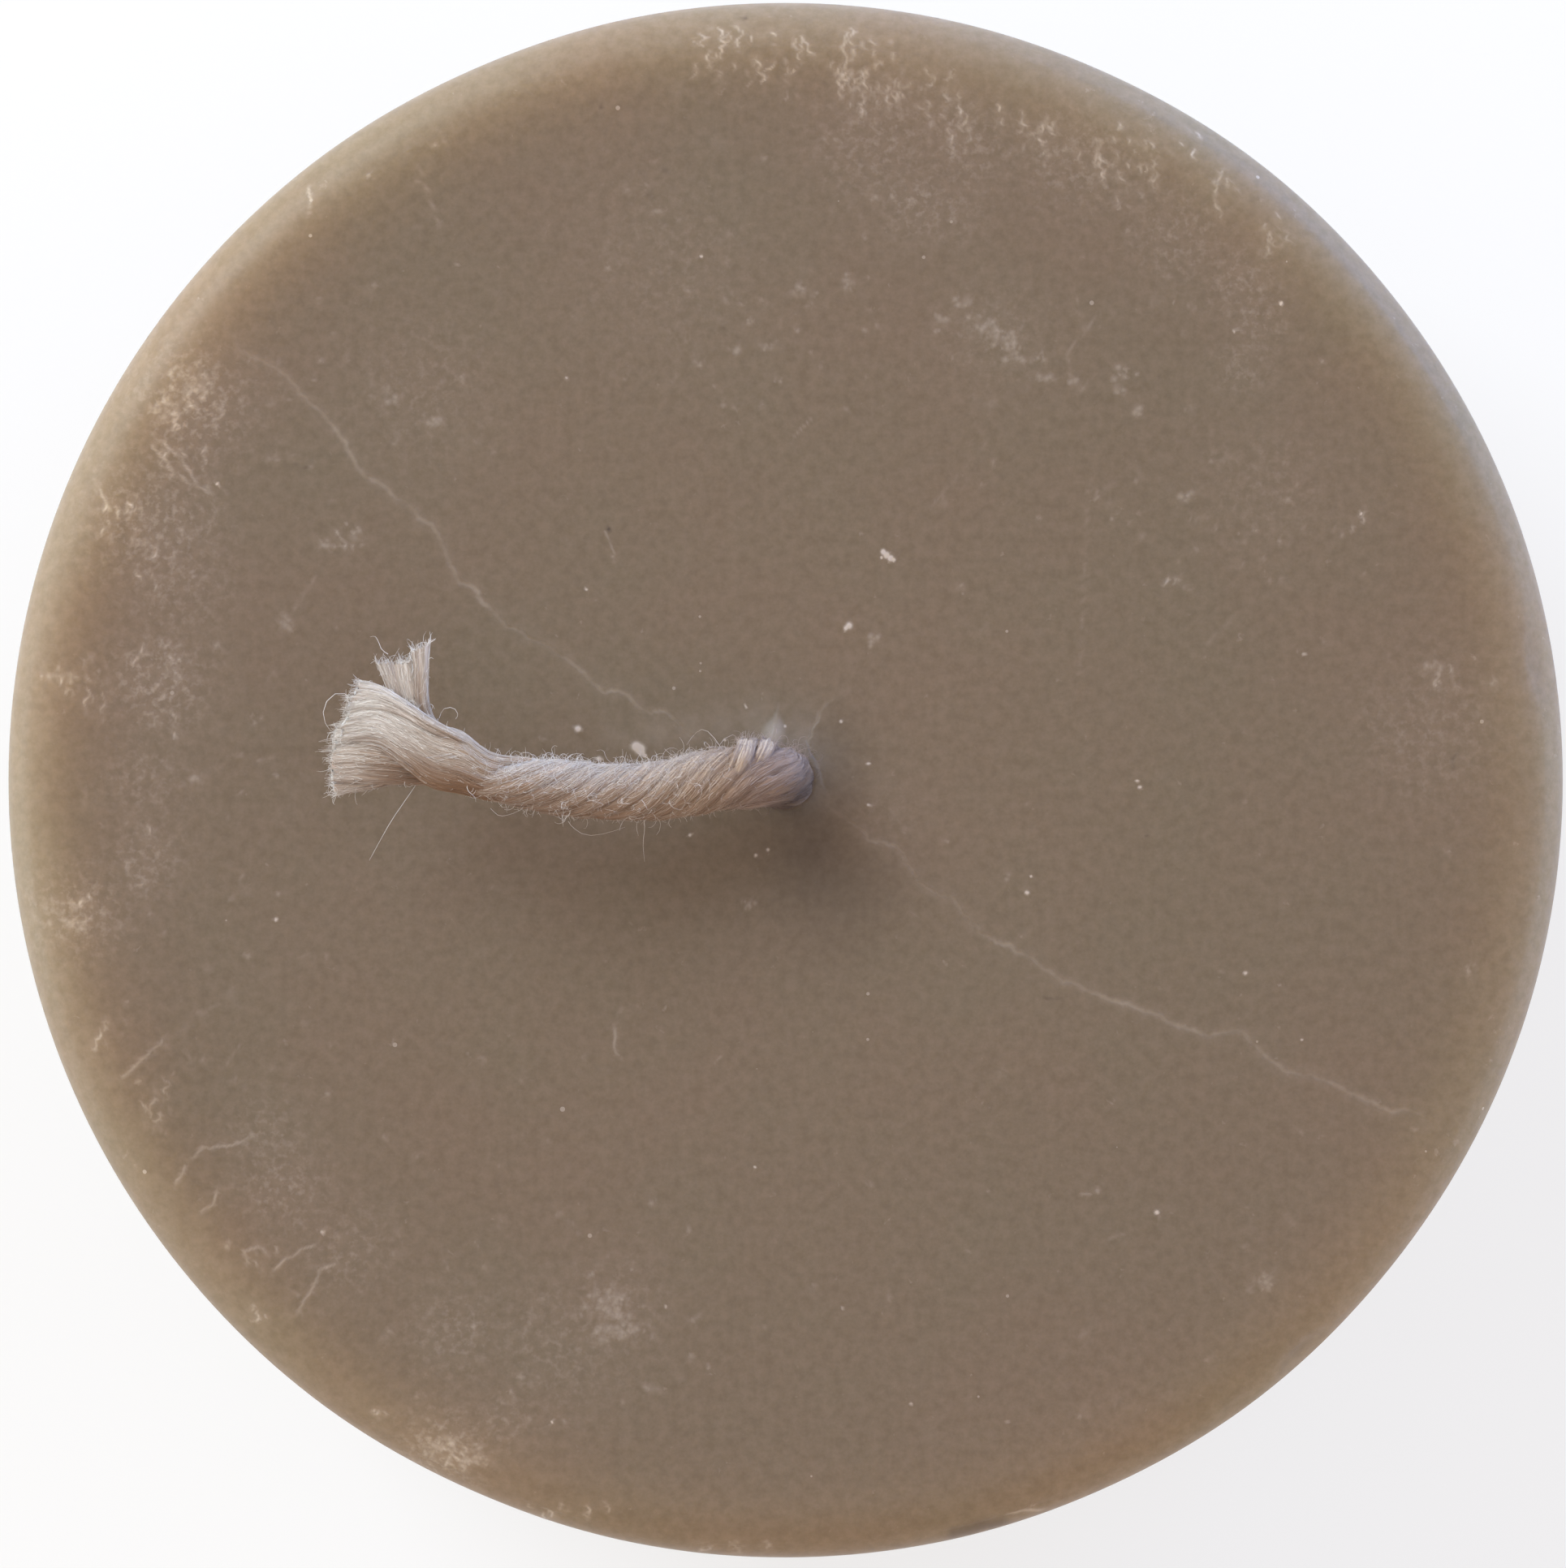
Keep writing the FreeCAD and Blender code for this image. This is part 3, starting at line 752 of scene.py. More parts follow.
def make_wax_material():
    """Taupe wax: crystals mottle the dye, bloom and marks pale it, painted light and painted shade round the
    wick's foot pale and darken it, and light spreads under its skin.
    """
    material, tree, out = new_material("cast_stearin_wax")
    place = add_node(tree, "ShaderNodeTexCoord").outputs["Object"]
    mm = add_node(tree, "ShaderNodeVectorMath", {0: place, 1: (1 / MM,) * 3}, operation="MULTIPLY").outputs[0]
    # Stearin crystals, about half a millimetre across
    crystals = add_node(tree, "ShaderNodeTexNoise", {
        "Vector": mm, "Scale": 1.9, "Detail": 3, "Roughness": 0.7,
    })
    haze = add_node(tree, "ShaderNodeTexNoise", {"Vector": mm, "Scale": 0.09, "Detail": 3, "Roughness": 0.55})
    mottle = add_node(tree, "ShaderNodeMapRange", {
        "Value": crystals.outputs[0], "From Min": 0.34, "From Max": 0.66,
    })
    body = add_node(tree, "ShaderNodeMix", {
        "Factor": mottle.outputs[0], 6: WAX_DARK, 7: WAX_LIGHT,
    }, data_type="RGBA")
    tint = add_node(tree, "ShaderNodeMapRange", {
        "Value": haze.outputs[0], "From Min": 0.35, "From Max": 0.65,
    })
    warm = add_node(tree, "ShaderNodeMix", {
        "Factor": tint.outputs[0], 6: WAX_COOL, 7: WAX_WARM,
    }, data_type="RGBA")
    body = add_node(tree, "ShaderNodeMix", {
        "Factor": 0.5, 6: body.outputs[2], 7: warm.outputs[2],
    }, data_type="RGBA")
    # Specks of dust and wax: one cell in six of a pattern of cells 1.25 mm wide holds a dot
    cells = add_node(tree, "ShaderNodeTexVoronoi", {"Vector": mm, "Scale": 0.8})
    rare = add_node(tree, "ShaderNodeSeparateColor", {0: cells.outputs["Color"]})
    held = add_node(tree, "ShaderNodeMapRange", {
        "Value": rare.outputs[0], "From Min": 0.84, "From Max": 1.0, "To Max": 0.095,
    })
    dot = add_node(tree, "ShaderNodeMath", {
        0: cells.outputs["Distance"], 1: held.outputs[0],
    }, operation="LESS_THAN")
    speck = add_node(tree, "ShaderNodeMath", {0: dot.outputs[0], 1: 0.5}, operation="MULTIPLY")
    # Bloom: crystals in clumps of half a millimetre over a thin haze, only where the canvas holds bloom
    grains = add_node(tree, "ShaderNodeTexNoise", {"Vector": mm, "Scale": 2.6, "Detail": 2, "Roughness": 0.6})
    bloom = add_node(tree, "ShaderNodeAttribute", attribute_name="bloom").outputs["Fac"]
    spread = add_node(tree, "ShaderNodeMapRange", {
        "Value": grains.outputs[0], "From Min": 0.48, "From Max": 0.78, "To Min": 0.08, "To Max": 0.8,
    })
    bloomed = add_node(tree, "ShaderNodeMath", {0: spread.outputs[0], 1: bloom}, operation="MULTIPLY")
    # Blotches: a few crystals grown together, 0.3 mm across, here and there all over
    clots = add_node(tree, "ShaderNodeTexNoise", {
        "Vector": mm, "Scale": 1.15, "Detail": 3, "Roughness": 0.7, "Distortion": 0.3,
    })
    blotch = add_node(tree, "ShaderNodeMapRange", {
        "Value": clots.outputs[0], "From Min": 0.67, "From Max": 0.78, "To Max": 0.24,
    })
    bloomed = add_node(tree, "ShaderNodeMath", {
        0: bloomed.outputs[0], 1: blotch.outputs[0],
    }, operation="MAXIMUM")
    pale = add_node(tree, "ShaderNodeAttribute", attribute_name="pale").outputs["Fac"]
    pale = add_node(tree, "ShaderNodeMath", {0: pale, 1: bloomed.outputs[0]}, operation="ADD")
    pale = add_node(tree, "ShaderNodeMath", {
        0: pale.outputs[0], 1: speck.outputs[0],
    }, operation="MAXIMUM", use_clamp=True)
    dark = add_node(tree, "ShaderNodeAttribute", attribute_name="dark").outputs["Fac"]
    # The pale share is marks and bloom plus painted light round the foot; the dark share is dirt plus painted
    # shade and shadow round the foot.
    for share, over in ((pale.outputs[0], WAX_BLOOM_AND_LIGHT), (dark, WAX_DIRT_AND_SHADE)):
        inputs = {"Factor": share, 6: body.outputs[2], 7: over}
        body = add_node(tree, "ShaderNodeMix", inputs, data_type="RGBA")
    rough = add_node(tree, "ShaderNodeMapRange", {
        "Value": crystals.outputs[0], "To Min": 0.38, "To Max": 0.52,
    })
    skin = add_node(tree, "ShaderNodeTexNoise", {"Vector": mm, "Scale": 0.7, "Detail": 4, "Roughness": 0.6})
    bump = add_node(tree, "ShaderNodeBump", {
        "Height": skin.outputs[0], "Strength": 0.5, "Distance": 0.03 * MM,
    })
    bump = add_node(tree, "ShaderNodeBump", {
        "Height": bloomed.outputs[0], "Strength": 0.8, "Distance": 0.02 * MM, "Normal": bump.outputs[0],
    })
    shader = add_node(tree, "ShaderNodeBsdfPrincipled", {
        "Base Color": body.outputs[2], "Roughness": rough.outputs[0], "Normal": bump.outputs[0],
        "IOR": 1.44, "Specular IOR Level": 0.25,
        "Subsurface Weight": 1.0, "Subsurface Radius": (1.0, 0.88, 0.62), "Subsurface Scale": 15.5 * MM,
    })
    tree.links.new(shader.outputs[0], out.inputs["Surface"])
    return material


wax.data.materials.append(make_wax_material())
print("nodes of the wax:", len(wax.data.materials[0].node_tree.nodes))

# %% [markdown]
# ## The wick's line
# The wick stands up out of the wax, bends over and runs out level, stiff from the wax it has drunk.
# Its line is a smooth spline through a few points, height above the top given third. Reading the
# points back from Blender's own curve gives an even line for the cord to follow.

# %% The line of the wick
WICK_LINE = [
    (0.0, 0.0, -3.0), (0.0, 0.0, -1.0), (0.0, 0.03, 0.6), (-0.02, 0.10, 1.7), (-0.75, 0.18, 2.75),
    (-2.5, 0.11, 3.0), (-4.4, -0.25, 3.1), (-6.2, -0.56, 3.35), (-8.4, -0.52, 3.8), (-10.8, -0.22, 4.45),
    (-12.9, 0.25, 5.15), (-14.4, 0.7, 5.75),
]
WICK_RADIUS = 1.23
SOAKED_RADIUS = 1.195
LAY_LENGTH = 10.0
PLIES = 8


def read_line(points):
    """The points of a NURBS line through Blender: x, y and height above the wax top, in millimetres."""
    curve = bpy.data.curves.new("wick_line", "CURVE")
    curve.dimensions = "3D"
    spline = curve.splines.new("NURBS")
    spline.points.add(len(points) - 1)
    for target, (x, y, height) in zip(spline.points, points):
        target.co = (x, y, BODY_HEIGHT + height, 1)
    spline.order_u = 3
    spline.use_endpoint_u = True
    curve.resolution_u = 24
    holder = bpy.data.objects.new("wick_line", curve)
    mesh = bpy.data.meshes.new_from_object(holder)
    line = array_of(mesh.vertices, "co", 3).astype(float)
    bpy.data.objects.remove(holder)
    bpy.data.curves.remove(curve)
    bpy.data.meshes.remove(mesh)
    return line


def frames_along(line, s):
    """Position, direction, side and upward vectors at run lengths s. The side vector is +Y made square
    to the line, which works because the line never runs along Y."""
    run = np.concatenate([[0], np.cumsum(np.linalg.norm(np.diff(line, axis=0), axis=1))])
    at = np.stack([np.interp(s, run, line[:, k]) for k in range(3)], -1)
    ahead = np.stack([np.interp(s + 0.08, run, line[:, k]) for k in range(3)], -1)
    back = np.stack([np.interp(s - 0.08, run, line[:, k]) for k in range(3)], -1)
    along = ahead - back
    along /= np.linalg.norm(along, axis=-1, keepdims=True)
    across = np.array([0.0, 1.0, 0.0]) - along * along[:, 1:2]
    across /= np.linalg.norm(across, axis=-1, keepdims=True)
    return at, along, across, np.cross(across, along)


wick_line = read_line(WICK_LINE)
wick_run = float(np.linalg.norm(np.diff(wick_line, axis=0), axis=1).sum())
print("length of the wick's line, mm:", round(wick_run, 2), "its box:", np.ptp(wick_line, axis=0).round(2))

# %% [markdown]
# ## The cord
# The cord is eight cotton strands laid to the left. Modelled as eight tubes it would look like
# wire rope; cotton strands press flat against each other, so the cord is one skin whose section is
# eight low lobes that turn left as they go. The lobes' spines keep their distance from the line,
# and each lobe's width, height and lie vary, as hand-fed yarn does. A number kept at each point
# says how far the wax has stained it: the wax ran down to the cord's lower side while it set. The
# same number also paints that lower side darker, as painted shade.

# %% The laid cord
CORD_COLUMNS = 168
CORD_STEP = 0.055
FREE_FROM = 3.0
SOAKED_ROWS = 30


def cord_radius(turn, s):
    """Radius of the cord's skin. Each lobe is a circle arc on its own spine, softened, and fine ridges of
    fibre run along it."""
    lay = (turn / (2 * math.pi) + s / LAY_LENGTH + 0.03 * line_noise(s / 2.2, 2, 21)) * PLIES
    ply = np.floor(lay)
    across = (lay - ply - 0.5) * 2 * math.pi / PLIES
    spine, thick = 0.715, 0.53
    lobe = spine * np.cos(across) + np.sqrt(thick**2 - (spine * np.sin(across)) ** 2)
    full = spine + thick
    own_row = ply % PLIES + 0.5
    swell = 1 + 0.045 * soft_noise(s / 2.7 + 7, own_row, 22) + 0.03 * soft_noise(s / 0.8, own_row, 23)
    lobe = full + 0.8 * (lobe - full) - 0.01
    frayed = 1 - ease(s, 4.5, 8.0)
    lobe = full + (1 - 0.45 * frayed) * (lobe - full)
    fibre = 0.02 * soft_noise(lay * 8, s / 1.6, 24) + 0.012 * soft_noise(lay * 19, s / 0.9, 25)
    fibre = fibre + frayed * 0.13 * soft_noise(lay * 1.6, s / 0.7, 26)
    return WICK_RADIUS / full * lobe * swell + fibre


# Run length and the cord's girth there, as a share of its radius
WIDTHS = [
    (0, 1.0), (3.2, 1.0), (4.4, 1.04), (5.6, 1.1), (7.0, 1.15), (9.0, 1.12), (11, 1.03), (15, 0.98),
    (16.8, 0.96), (17.9, 0.87), (19.2, 0.5), (40, 0.3),
]


def make_cord():
    """The skin on a grid of run length and turn, and below it the soaked stretch down to the base. Stain and
    shade is 1 in the bore and on the lower side, which is where the sine of the turn is -1, and 0 on the
    upper side: the bore is soaked, and the lower side is tan from wax and painted darker as shade. At the
    tuft the girth falls away sooner on the upper side, so that the cord ends along the slant of its lay."""
    run = np.arange(0, wick_run - 0.05, CORD_STEP)
    turn = -np.linspace(0, 2 * math.pi, CORD_COLUMNS, endpoint=False)[None, :]
    at, along, across, over = frames_along(wick_line, run)
    s = run[:, None]
    waxed = 1 - ease(s, FREE_FROM + 0.2, FREE_FROM + 1.2)
    reach = s + 1.25 * np.sin(turn) * ease(s, 13.0, 16.0)
    girth = np.interp(reach, *np.array(WIDTHS).T)
    radius = (waxed * SOAKED_RADIUS + (1 - waxed) * girth * cord_radius(turn, s))[..., None]
    upward, sideways = np.cos(turn)[..., None], np.sin(turn)[..., None]
    free = at[:, None] + radius * (upward * over[:, None] + sideways * across[:, None])
    # Painted shade: the lower side, away from the light, is darker, on top of the wax stain there.
    lower = np.clip((0.7 - 0.8 * np.sin(turn) - 0.25 * np.cos(turn)) / 1.6, 0, 1)
    lower = lower * (0.72 + 0.22 * ease(s, 8.5, 13)) + 0.1 * soft_noise(s / 0.7, turn * 3 + 30, 27)
    stain_and_shade = np.maximum(lower, 1 - ease(s, 4.6, 7.6)).clip(0, 1)
    below = np.linspace(0, BODY_HEIGHT - FREE_FROM - 0.1, SOAKED_ROWS)[:, None]
    soaked = np.broadcast_arrays(SOAKED_RADIUS * np.cos(turn), SOAKED_RADIUS * np.sin(turn), below)
    points = np.concatenate([np.stack(soaked, -1), free])
    run_out = np.concatenate([below - BODY_HEIGHT + FREE_FROM, s])
    uv = np.stack(np.broadcast_arrays((turn / (2 * math.pi) + run_out / LAY_LENGTH) * PLIES, run_out), -1)
    rows = len(points)
    ends = [range(CORD_COLUMNS - 1, -1, -1), range((rows - 1) * CORD_COLUMNS, rows * CORD_COLUMNS)]
    faces = grid_faces(rows, CORD_COLUMNS)
    made = mesh_object("wick_cord", points.reshape(-1, 3), faces, ends, uv.reshape(-1, 2))
    keep_value(made.data, "stain_and_shade", np.concatenate([np.ones((SOAKED_ROWS, CORD_COLUMNS)), stain_and_shade]))
    return made, free, stain_and_shade


cord, cord_skin, cord_stain_and_shade = make_cord()
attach(cord, "root")
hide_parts("wick")
print("cord faces:", len(cord.data.polygons), "skin grid:", cord_skin.shape)

# %% [markdown]
# ## The tuft
# At the wick's tip the strands have been cut and have come unlaid. They lie over each other as
# flat blades: a broad fan towards -X with a ridge along its far edge, a darker part that comes out
# from under its fold, and two blades that turn up towards +Y. Each blade is a sleeve between two
# edge courses that start in the cord's neck, so its creases spread out like rays towards the cut.
# Two short strands that stand up over the foot are made the same way.
#
# A course is a row of pixels, each with a height above the top in millimetres. After the upper and
# the lower course come the blade's thickness along it, how many creases it has, and how stained and
# shaded it is on its lower edge, at its root and at its tip: this is wax stain together with painted
# shade in folds and on the side away from the light. A strand that runs up the picture has its right
# edge first, so that its faces point outwards.

# %% Blades of the tuft
BLADES = {
    "fan": (
        [(656, 934, 4.8), (606, 928, 5.3), (571, 903, 5.8), (536, 891, 6.1), (498, 872, 6.3),
         (466, 862, 6.4), (436, 866, 6.3)],
        [(612, 988, 4.6), (594, 984, 4.9), (565, 977, 5.2), (530, 969, 5.3), (500, 947, 5.6),
         (462, 922, 5.7), (412, 925, 5.6)],
        [1.9, 2.15, 2.0, 1.5, 1.1, 0.9, 0.75], 10, 0.75, 0.3, 0.0),
    "fan_ridge": (
        [(610, 934, 5.2), (580, 912, 6.0), (556, 899, 6.4), (530, 884, 6.5), (500, 864, 6.55),
         (470, 846, 6.4), (441, 839, 6.25)],
        [(610, 945, 5.4), (580, 926, 6.15), (553, 911, 6.5), (524, 898, 6.6), (496, 882, 6.6),
         (466, 873, 6.5), (430, 874, 6.25)],
        [0.3, 0.4, 0.45, 0.5, 0.5, 0.5, 0.45], 4, 0.25, 0.35, 0.15),
    "fan_under": (
        [(545, 930, 4.9), (520, 922, 5.2), (495, 908, 5.5), (465, 897, 5.7), (438, 897, 5.8),
         (413, 900, 5.7)],
        [(552, 966, 4.4), (527, 967, 4.6), (502, 966, 4.9), (470, 966, 5.2), (440, 964, 5.4),
         (409, 962, 5.5)],
        [0.5, 0.55, 0.6, 0.6, 0.55, 0.55], 7, 0.7, 0.1, 0.0),
    "fan_edge": (
        [(530, 956, 4.1), (510, 954, 4.2), (486, 955, 4.5), (464, 960, 4.9), (440, 963, 5.1),
         (411, 960, 5.2)],
        [(532, 966, 4.0), (512, 967, 4.1), (489, 965, 4.4), (466, 970, 4.7), (440, 975, 4.9),
         (412, 980, 5.0)],
        [0.3, 0.35, 0.4, 0.4, 0.4, 0.45], 2, 0.5, 0.1, 0.0),
    "upturned": (
        [(596, 935, 4.9), (560, 912, 5.3), (536, 893, 5.6), (519, 872, 5.8), (512, 845, 5.9),
         (508, 815, 5.8)],
        [(600, 955, 4.8), (560, 930, 5.2), (520, 905, 5.5), (492, 878, 5.7), (476, 846, 5.9),
         (465, 818, 5.9)],
        [0.7, 0.8, 0.75, 0.65, 0.6, 0.6], 5, 0.45, 0.4, 0.2),
    "upturned_thin": (
        [(590, 925, 4.8), (560, 905, 5.1), (538, 889, 5.5), (528, 864, 5.9), (527, 830, 6.1),
         (529, 796, 6.0)],
        [(592, 940, 4.7), (555, 918, 5.1), (525, 898, 5.5), (510, 868, 5.9), (511, 832, 6.1),
         (507, 799, 6.0)],
        [0.6, 0.6, 0.55, 0.5, 0.45, 0.45], 2, 0.3, 0.4, 0.32),
    "foot_strand_left": (
        [(900, 990, 2.9), (911, 966, 3.85), (922, 944, 4.05), (929, 926, 3.85), (933, 911, 3.1)],
        [(881, 984, 3.1), (890, 962, 3.95), (898, 942, 4.15), (905, 925, 3.85), (910, 911, 3.1)],
        [0.3, 0.45, 0.55, 0.6, 0.5], 3, 0.1, 0.1, 0.0),
    "foot_strand_right": (
        [(926, 978, 2.8), (937, 956, 3.55), (946, 938, 3.7), (953, 925, 3.4), (957, 914, 2.8)],
        [(910, 972, 3.0), (918, 952, 3.65), (926, 937, 3.8), (933, 922, 3.55), (938, 909, 2.9)],
        [0.3, 0.4, 0.5, 0.52, 0.42], 3, 0.15, 0.2, 0.0),
}
BLADE_ROWS = 80
BLADE_COLUMNS = 110
TUFT_FROM = 16.0


def smooth_course(points, count):
    """A course through its points by blending the two parabolas through each point and its neighbours."""
    both = np.asarray(points, float)
    both = np.vstack([2 * both[0] - both[1], both, 2 * both[-1] - both[-2]])
    t = np.linspace(0, len(points) - 1 - 1e-6, count)
    k = t.astype(int)
    u = (t - k)[:, None]
    p0, p1, p2, p3 = (both[k + n] for n in range(4))
    square, cube = 2 * p0 - 5 * p1 + 4 * p2 - p3, 3 * p1 - p0 - 3 * p2 + p3
    return 0.5 * (2 * p1 + (p2 - p0) * u + square * u**2 + cube * u**3)


def lifted(pixels):
    """Places in the photograph with a height above the top, as points in millimetres."""
    x, y, height = np.array(pixels, float).T
    return np.column_stack([seen_at(x, y, height), BODY_HEIGHT + height])


def blade_skin(upper, lower, thickness, creases, edge_stain_and_shade, root_stain_and_shade, tip_stain_and_shade, seed):
    """A blade's skin. Rows run from its root to its cut end, and columns round its lens-shaped section: the
    share t across is half of 1 plus the cosine of the turn. The ridges are noise of t, so they spread as
    the blade does, and the cut end is ragged because each column stops at its own length."""
    top, bottom = (smooth_course(lifted(edge), BLADE_ROWS) for edge in (upper, lower))
    thick = smooth_course(np.column_stack([thickness, thickness]), BLADE_ROWS)[:, :1]
    middle = (top + bottom) / 2
    run = np.concatenate([[0], np.cumsum(np.linalg.norm(np.diff(middle, axis=0), axis=1))])[:, None]
    turn = -np.linspace(0, 2 * math.pi, BLADE_COLUMNS, endpoint=False)[None, :]
    t = (1 + np.cos(turn)) / 2
    face = -np.sign(np.sin(turn)) * np.abs(np.sin(turn)) ** 0.7
    wander = t * creases + 0.35 * soft_noise(run / 2.5, t * creases * 0.6 + 5, seed + 3)
    side_shift = 3 * np.sign(face)
    ridges = 0.085 * soft_noise(wander, run / 6.0 + side_shift, seed)
    ridges = ridges + 0.04 * soft_noise(wander * 3.1, run / 3.0 + side_shift, seed + 1)
    ridges = ridges + 0.025 * soft_noise(wander * 8.0, run / 2.0, seed + 4)
    share = run / run[-1]
    grown = np.clip(run / 1.5 + 0.25, 0, 1)
    ends = 1 - 0.45 * ease(share, 0.6, 1.0)
    grid = bottom[:, None] * (1 - t[..., None]) + top[:, None] * t[..., None]
    grid[..., 2] += (face * thick / 2 * ends + ridges * np.abs(face)) * grown
    along = np.gradient(middle, axis=0)
    along /= np.linalg.norm(along, axis=1, keepdims=True)
    ragged = 0.5 * soft_noise(t * creases * 1.3 + 3, face * 0.8, seed + 2)
    ragged = ragged + 0.3 * soft_noise(t * creases * 6, face + 7, seed + 5)
    grid = grid + along[:, None] * (ease(share, 0.7, 1.0) ** 2 * ragged * 0.3)[..., None]
    # Wax stain and painted shade: along the lower edge, and from root to tip.
    edge = edge_stain_and_shade * (1 - ease(t * np.ones_like(run), 0.1, 0.7)) * (1 - ease(share, 0.4, 0.95))
    stain_and_shade = edge + root_stain_and_shade + (tip_stain_and_shade - root_stain_and_shade) * ease(share, 0.1, 0.75)
    width = np.linalg.norm(top - bottom, axis=1)[:, None]
    uv = np.stack(np.broadcast_arrays(t * width + 3 * seed, run + TUFT_FROM), -1)
    return grid, uv, stain_and_shade.clip(0, 1)


def make_tuft():
    """All the blades in one mesh, each closed at its root and at its cut end."""
    grids, maps, faces, ends, stains_and_shades = [], [], [], [], []
    size = BLADE_ROWS * BLADE_COLUMNS
    for n, blade in enumerate(BLADES.values()):
        grid, uv, stain_and_shade = blade_skin(*blade, 100 + 7 * n)
        base = n * size
        grids.append(grid)
        maps.append(uv.reshape(-1, 2))
        stains_and_shades.append(stain_and_shade)
        faces.append(grid_faces(BLADE_ROWS, BLADE_COLUMNS)[:, ::-1] + base)
        cut = base + size - 1
        ends += [range(base, base + BLADE_COLUMNS), range(cut, cut - BLADE_COLUMNS, -1)]
    points = np.concatenate([grid.reshape(-1, 3) for grid in grids])
    made = mesh_object("wick_tuft", points, np.concatenate(faces), ends, np.concatenate(maps))
    keep_value(made.data, "stain_and_shade", np.concatenate(stains_and_shades))
    return made, grids, stains_and_shades


tuft, blade_skins, blade_stains_and_shades = make_tuft()
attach(tuft, "root")
print("tuft faces:", len(tuft.data.polygons), "blades:", len(blade_skins))

# %% [markdown]
# ## Fibres
# Cotton yarn is hairy. Most fibres lie combed along their strand and give the cord its silky
# streaks; short ones stand off it and curl back; the cut ends fray; and a few long ones have
# strayed. Each fibre is a three-sided tube that tapers to its tip, of a few dozen faces, and all of
# a kind are worked out at once.

# %% Tubes, combed fibres and grown fibres
COMBED_STEPS = 10
HAIR_STEPS = 8
HAIR_SHAKE = 0.9


def fibre_tubes(path, radius):
    """Three-sided tubes round many paths. A fixed direction per fibre gives the corners, and the radius
    falls to a third at the tip."""
    count, steps, _ = path.shape
    along = np.gradient(path, axis=1)
    along /= np.linalg.norm(along, axis=2, keepdims=True) + 1e-12
    lean = np.array([0.31, 0.55, 0.77])
    side_a = np.cross(along, lean)
    side_a /= np.linalg.norm(side_a, axis=2, keepdims=True) + 1e-12
    side_b = np.cross(along, side_a)
    turn = -np.arange(3) * 2 * math.pi / 3
    taper = (1 - 0.66 * np.linspace(0, 1, steps) ** 2)[None, :, None, None] * radius[:, None, None, None]
    points = path[:, :, None] + taper * (
        np.cos(turn)[:, None] * side_a[:, :, None] + np.sin(turn)[:, None] * side_b[:, :, None]
    )
    one = grid_faces(steps, 3)
    faces = (one[None] + (np.arange(count) * steps * 3)[:, None, None]).reshape(-1, 4)
    first = (np.arange(count) * steps * 3)[:, None]
    caps = np.concatenate([first + [2, 1, 0], first + (steps - 1) * 3 + np.array([0, 1, 2])])
    return points.reshape(-1, 3), faces, caps


def outward(grid, away_from):
    """Unit normals of a skin grid, turned away from the middle line of each row."""
    around = np.roll(grid, -1, axis=1) - np.roll(grid, 1, axis=1)
    normal = np.cross(np.gradient(grid, axis=0), around)
    normal /= np.linalg.norm(normal, axis=2, keepdims=True) + 1e-12
    return normal * np.sign((normal * (grid - away_from)).sum(2, keepdims=True) + 1e-9)


def read_grid(grid, row, column):
    """The grid between its points: the four nearest, each weighed by how near it is. Columns wrap."""
    row = np.clip(row, 0, grid.shape[0] - 1.001)
    i, j = row.astype(int), np.floor(column).astype(int)
    a, b = (row - i)[..., None], (column - j)[..., None]
    j, j2 = j % grid.shape[1], (j + 1) % grid.shape[1]
    return between(grid[i, j], grid[i, j2], grid[i + 1, j], grid[i + 1, j2], a, b)


def combed(grid, row, column, rows_long, columns_long, lift, seed):
    """Fibres that lie along a skin: each runs from its row and column over its own count of rows and
    columns, wavers a little, and its tip lifts off the skin."""
    rng = np.random.default_rng(seed)
    t = np.linspace(0, 1, COMBED_STEPS)[None, :]
    each = (len(row), 1)
    waver = rng.normal(size=each) * np.sin(t * rng.uniform(3, 9, each) + rng.uniform(0, 6, each))
    r = row[:, None] + rows_long[:, None] * t
    c = column[:, None] + columns_long[:, None] * t + 0.8 * waver
    normal = outward(grid, grid.mean(1, keepdims=True))
    beyond = np.clip(r - (grid.shape[0] - 2), 0, None)[..., None]
    nearest = np.floor(c).astype(int) % grid.shape[1]
    last = grid[-1, nearest] - grid[-3, nearest]
    out = lift[:, None] * (0.35 + 0.65 * t**2) + 0.012 * waver
    return read_grid(grid, r, c) + out[..., None] * read_grid(normal, r, c) + beyond * last / 2


def grow(roots, headings, lengths, curl, seed):
    """Paths of many hairs as an array of hair, step and place. At each step the heading turns about the
    hair's own axis by curl and is shaken at random."""
    rng = np.random.default_rng(seed)
    axis = rng.normal(size=roots.shape) * curl
    path = np.empty((len(roots), HAIR_STEPS, 3))
    path[:, 0] = roots
    step = (lengths / (HAIR_STEPS - 1))[:, None]
    for k in range(1, HAIR_STEPS):
        headings = headings + (np.cross(axis, headings) + HAIR_SHAKE * rng.normal(size=roots.shape)) * step
        headings = headings / np.linalg.norm(headings, axis=1, keepdims=True)
        path[:, k] = path[:, k - 1] + headings * step
    return path


# %% Combed fibres on the cord and the tuft
COMBED_ON_CORD = 2300
COMBED_ON_BLADES = (1000, 380, 480, 150, 400, 200, 120, 90)
COMBED_RADIUS = 0.013


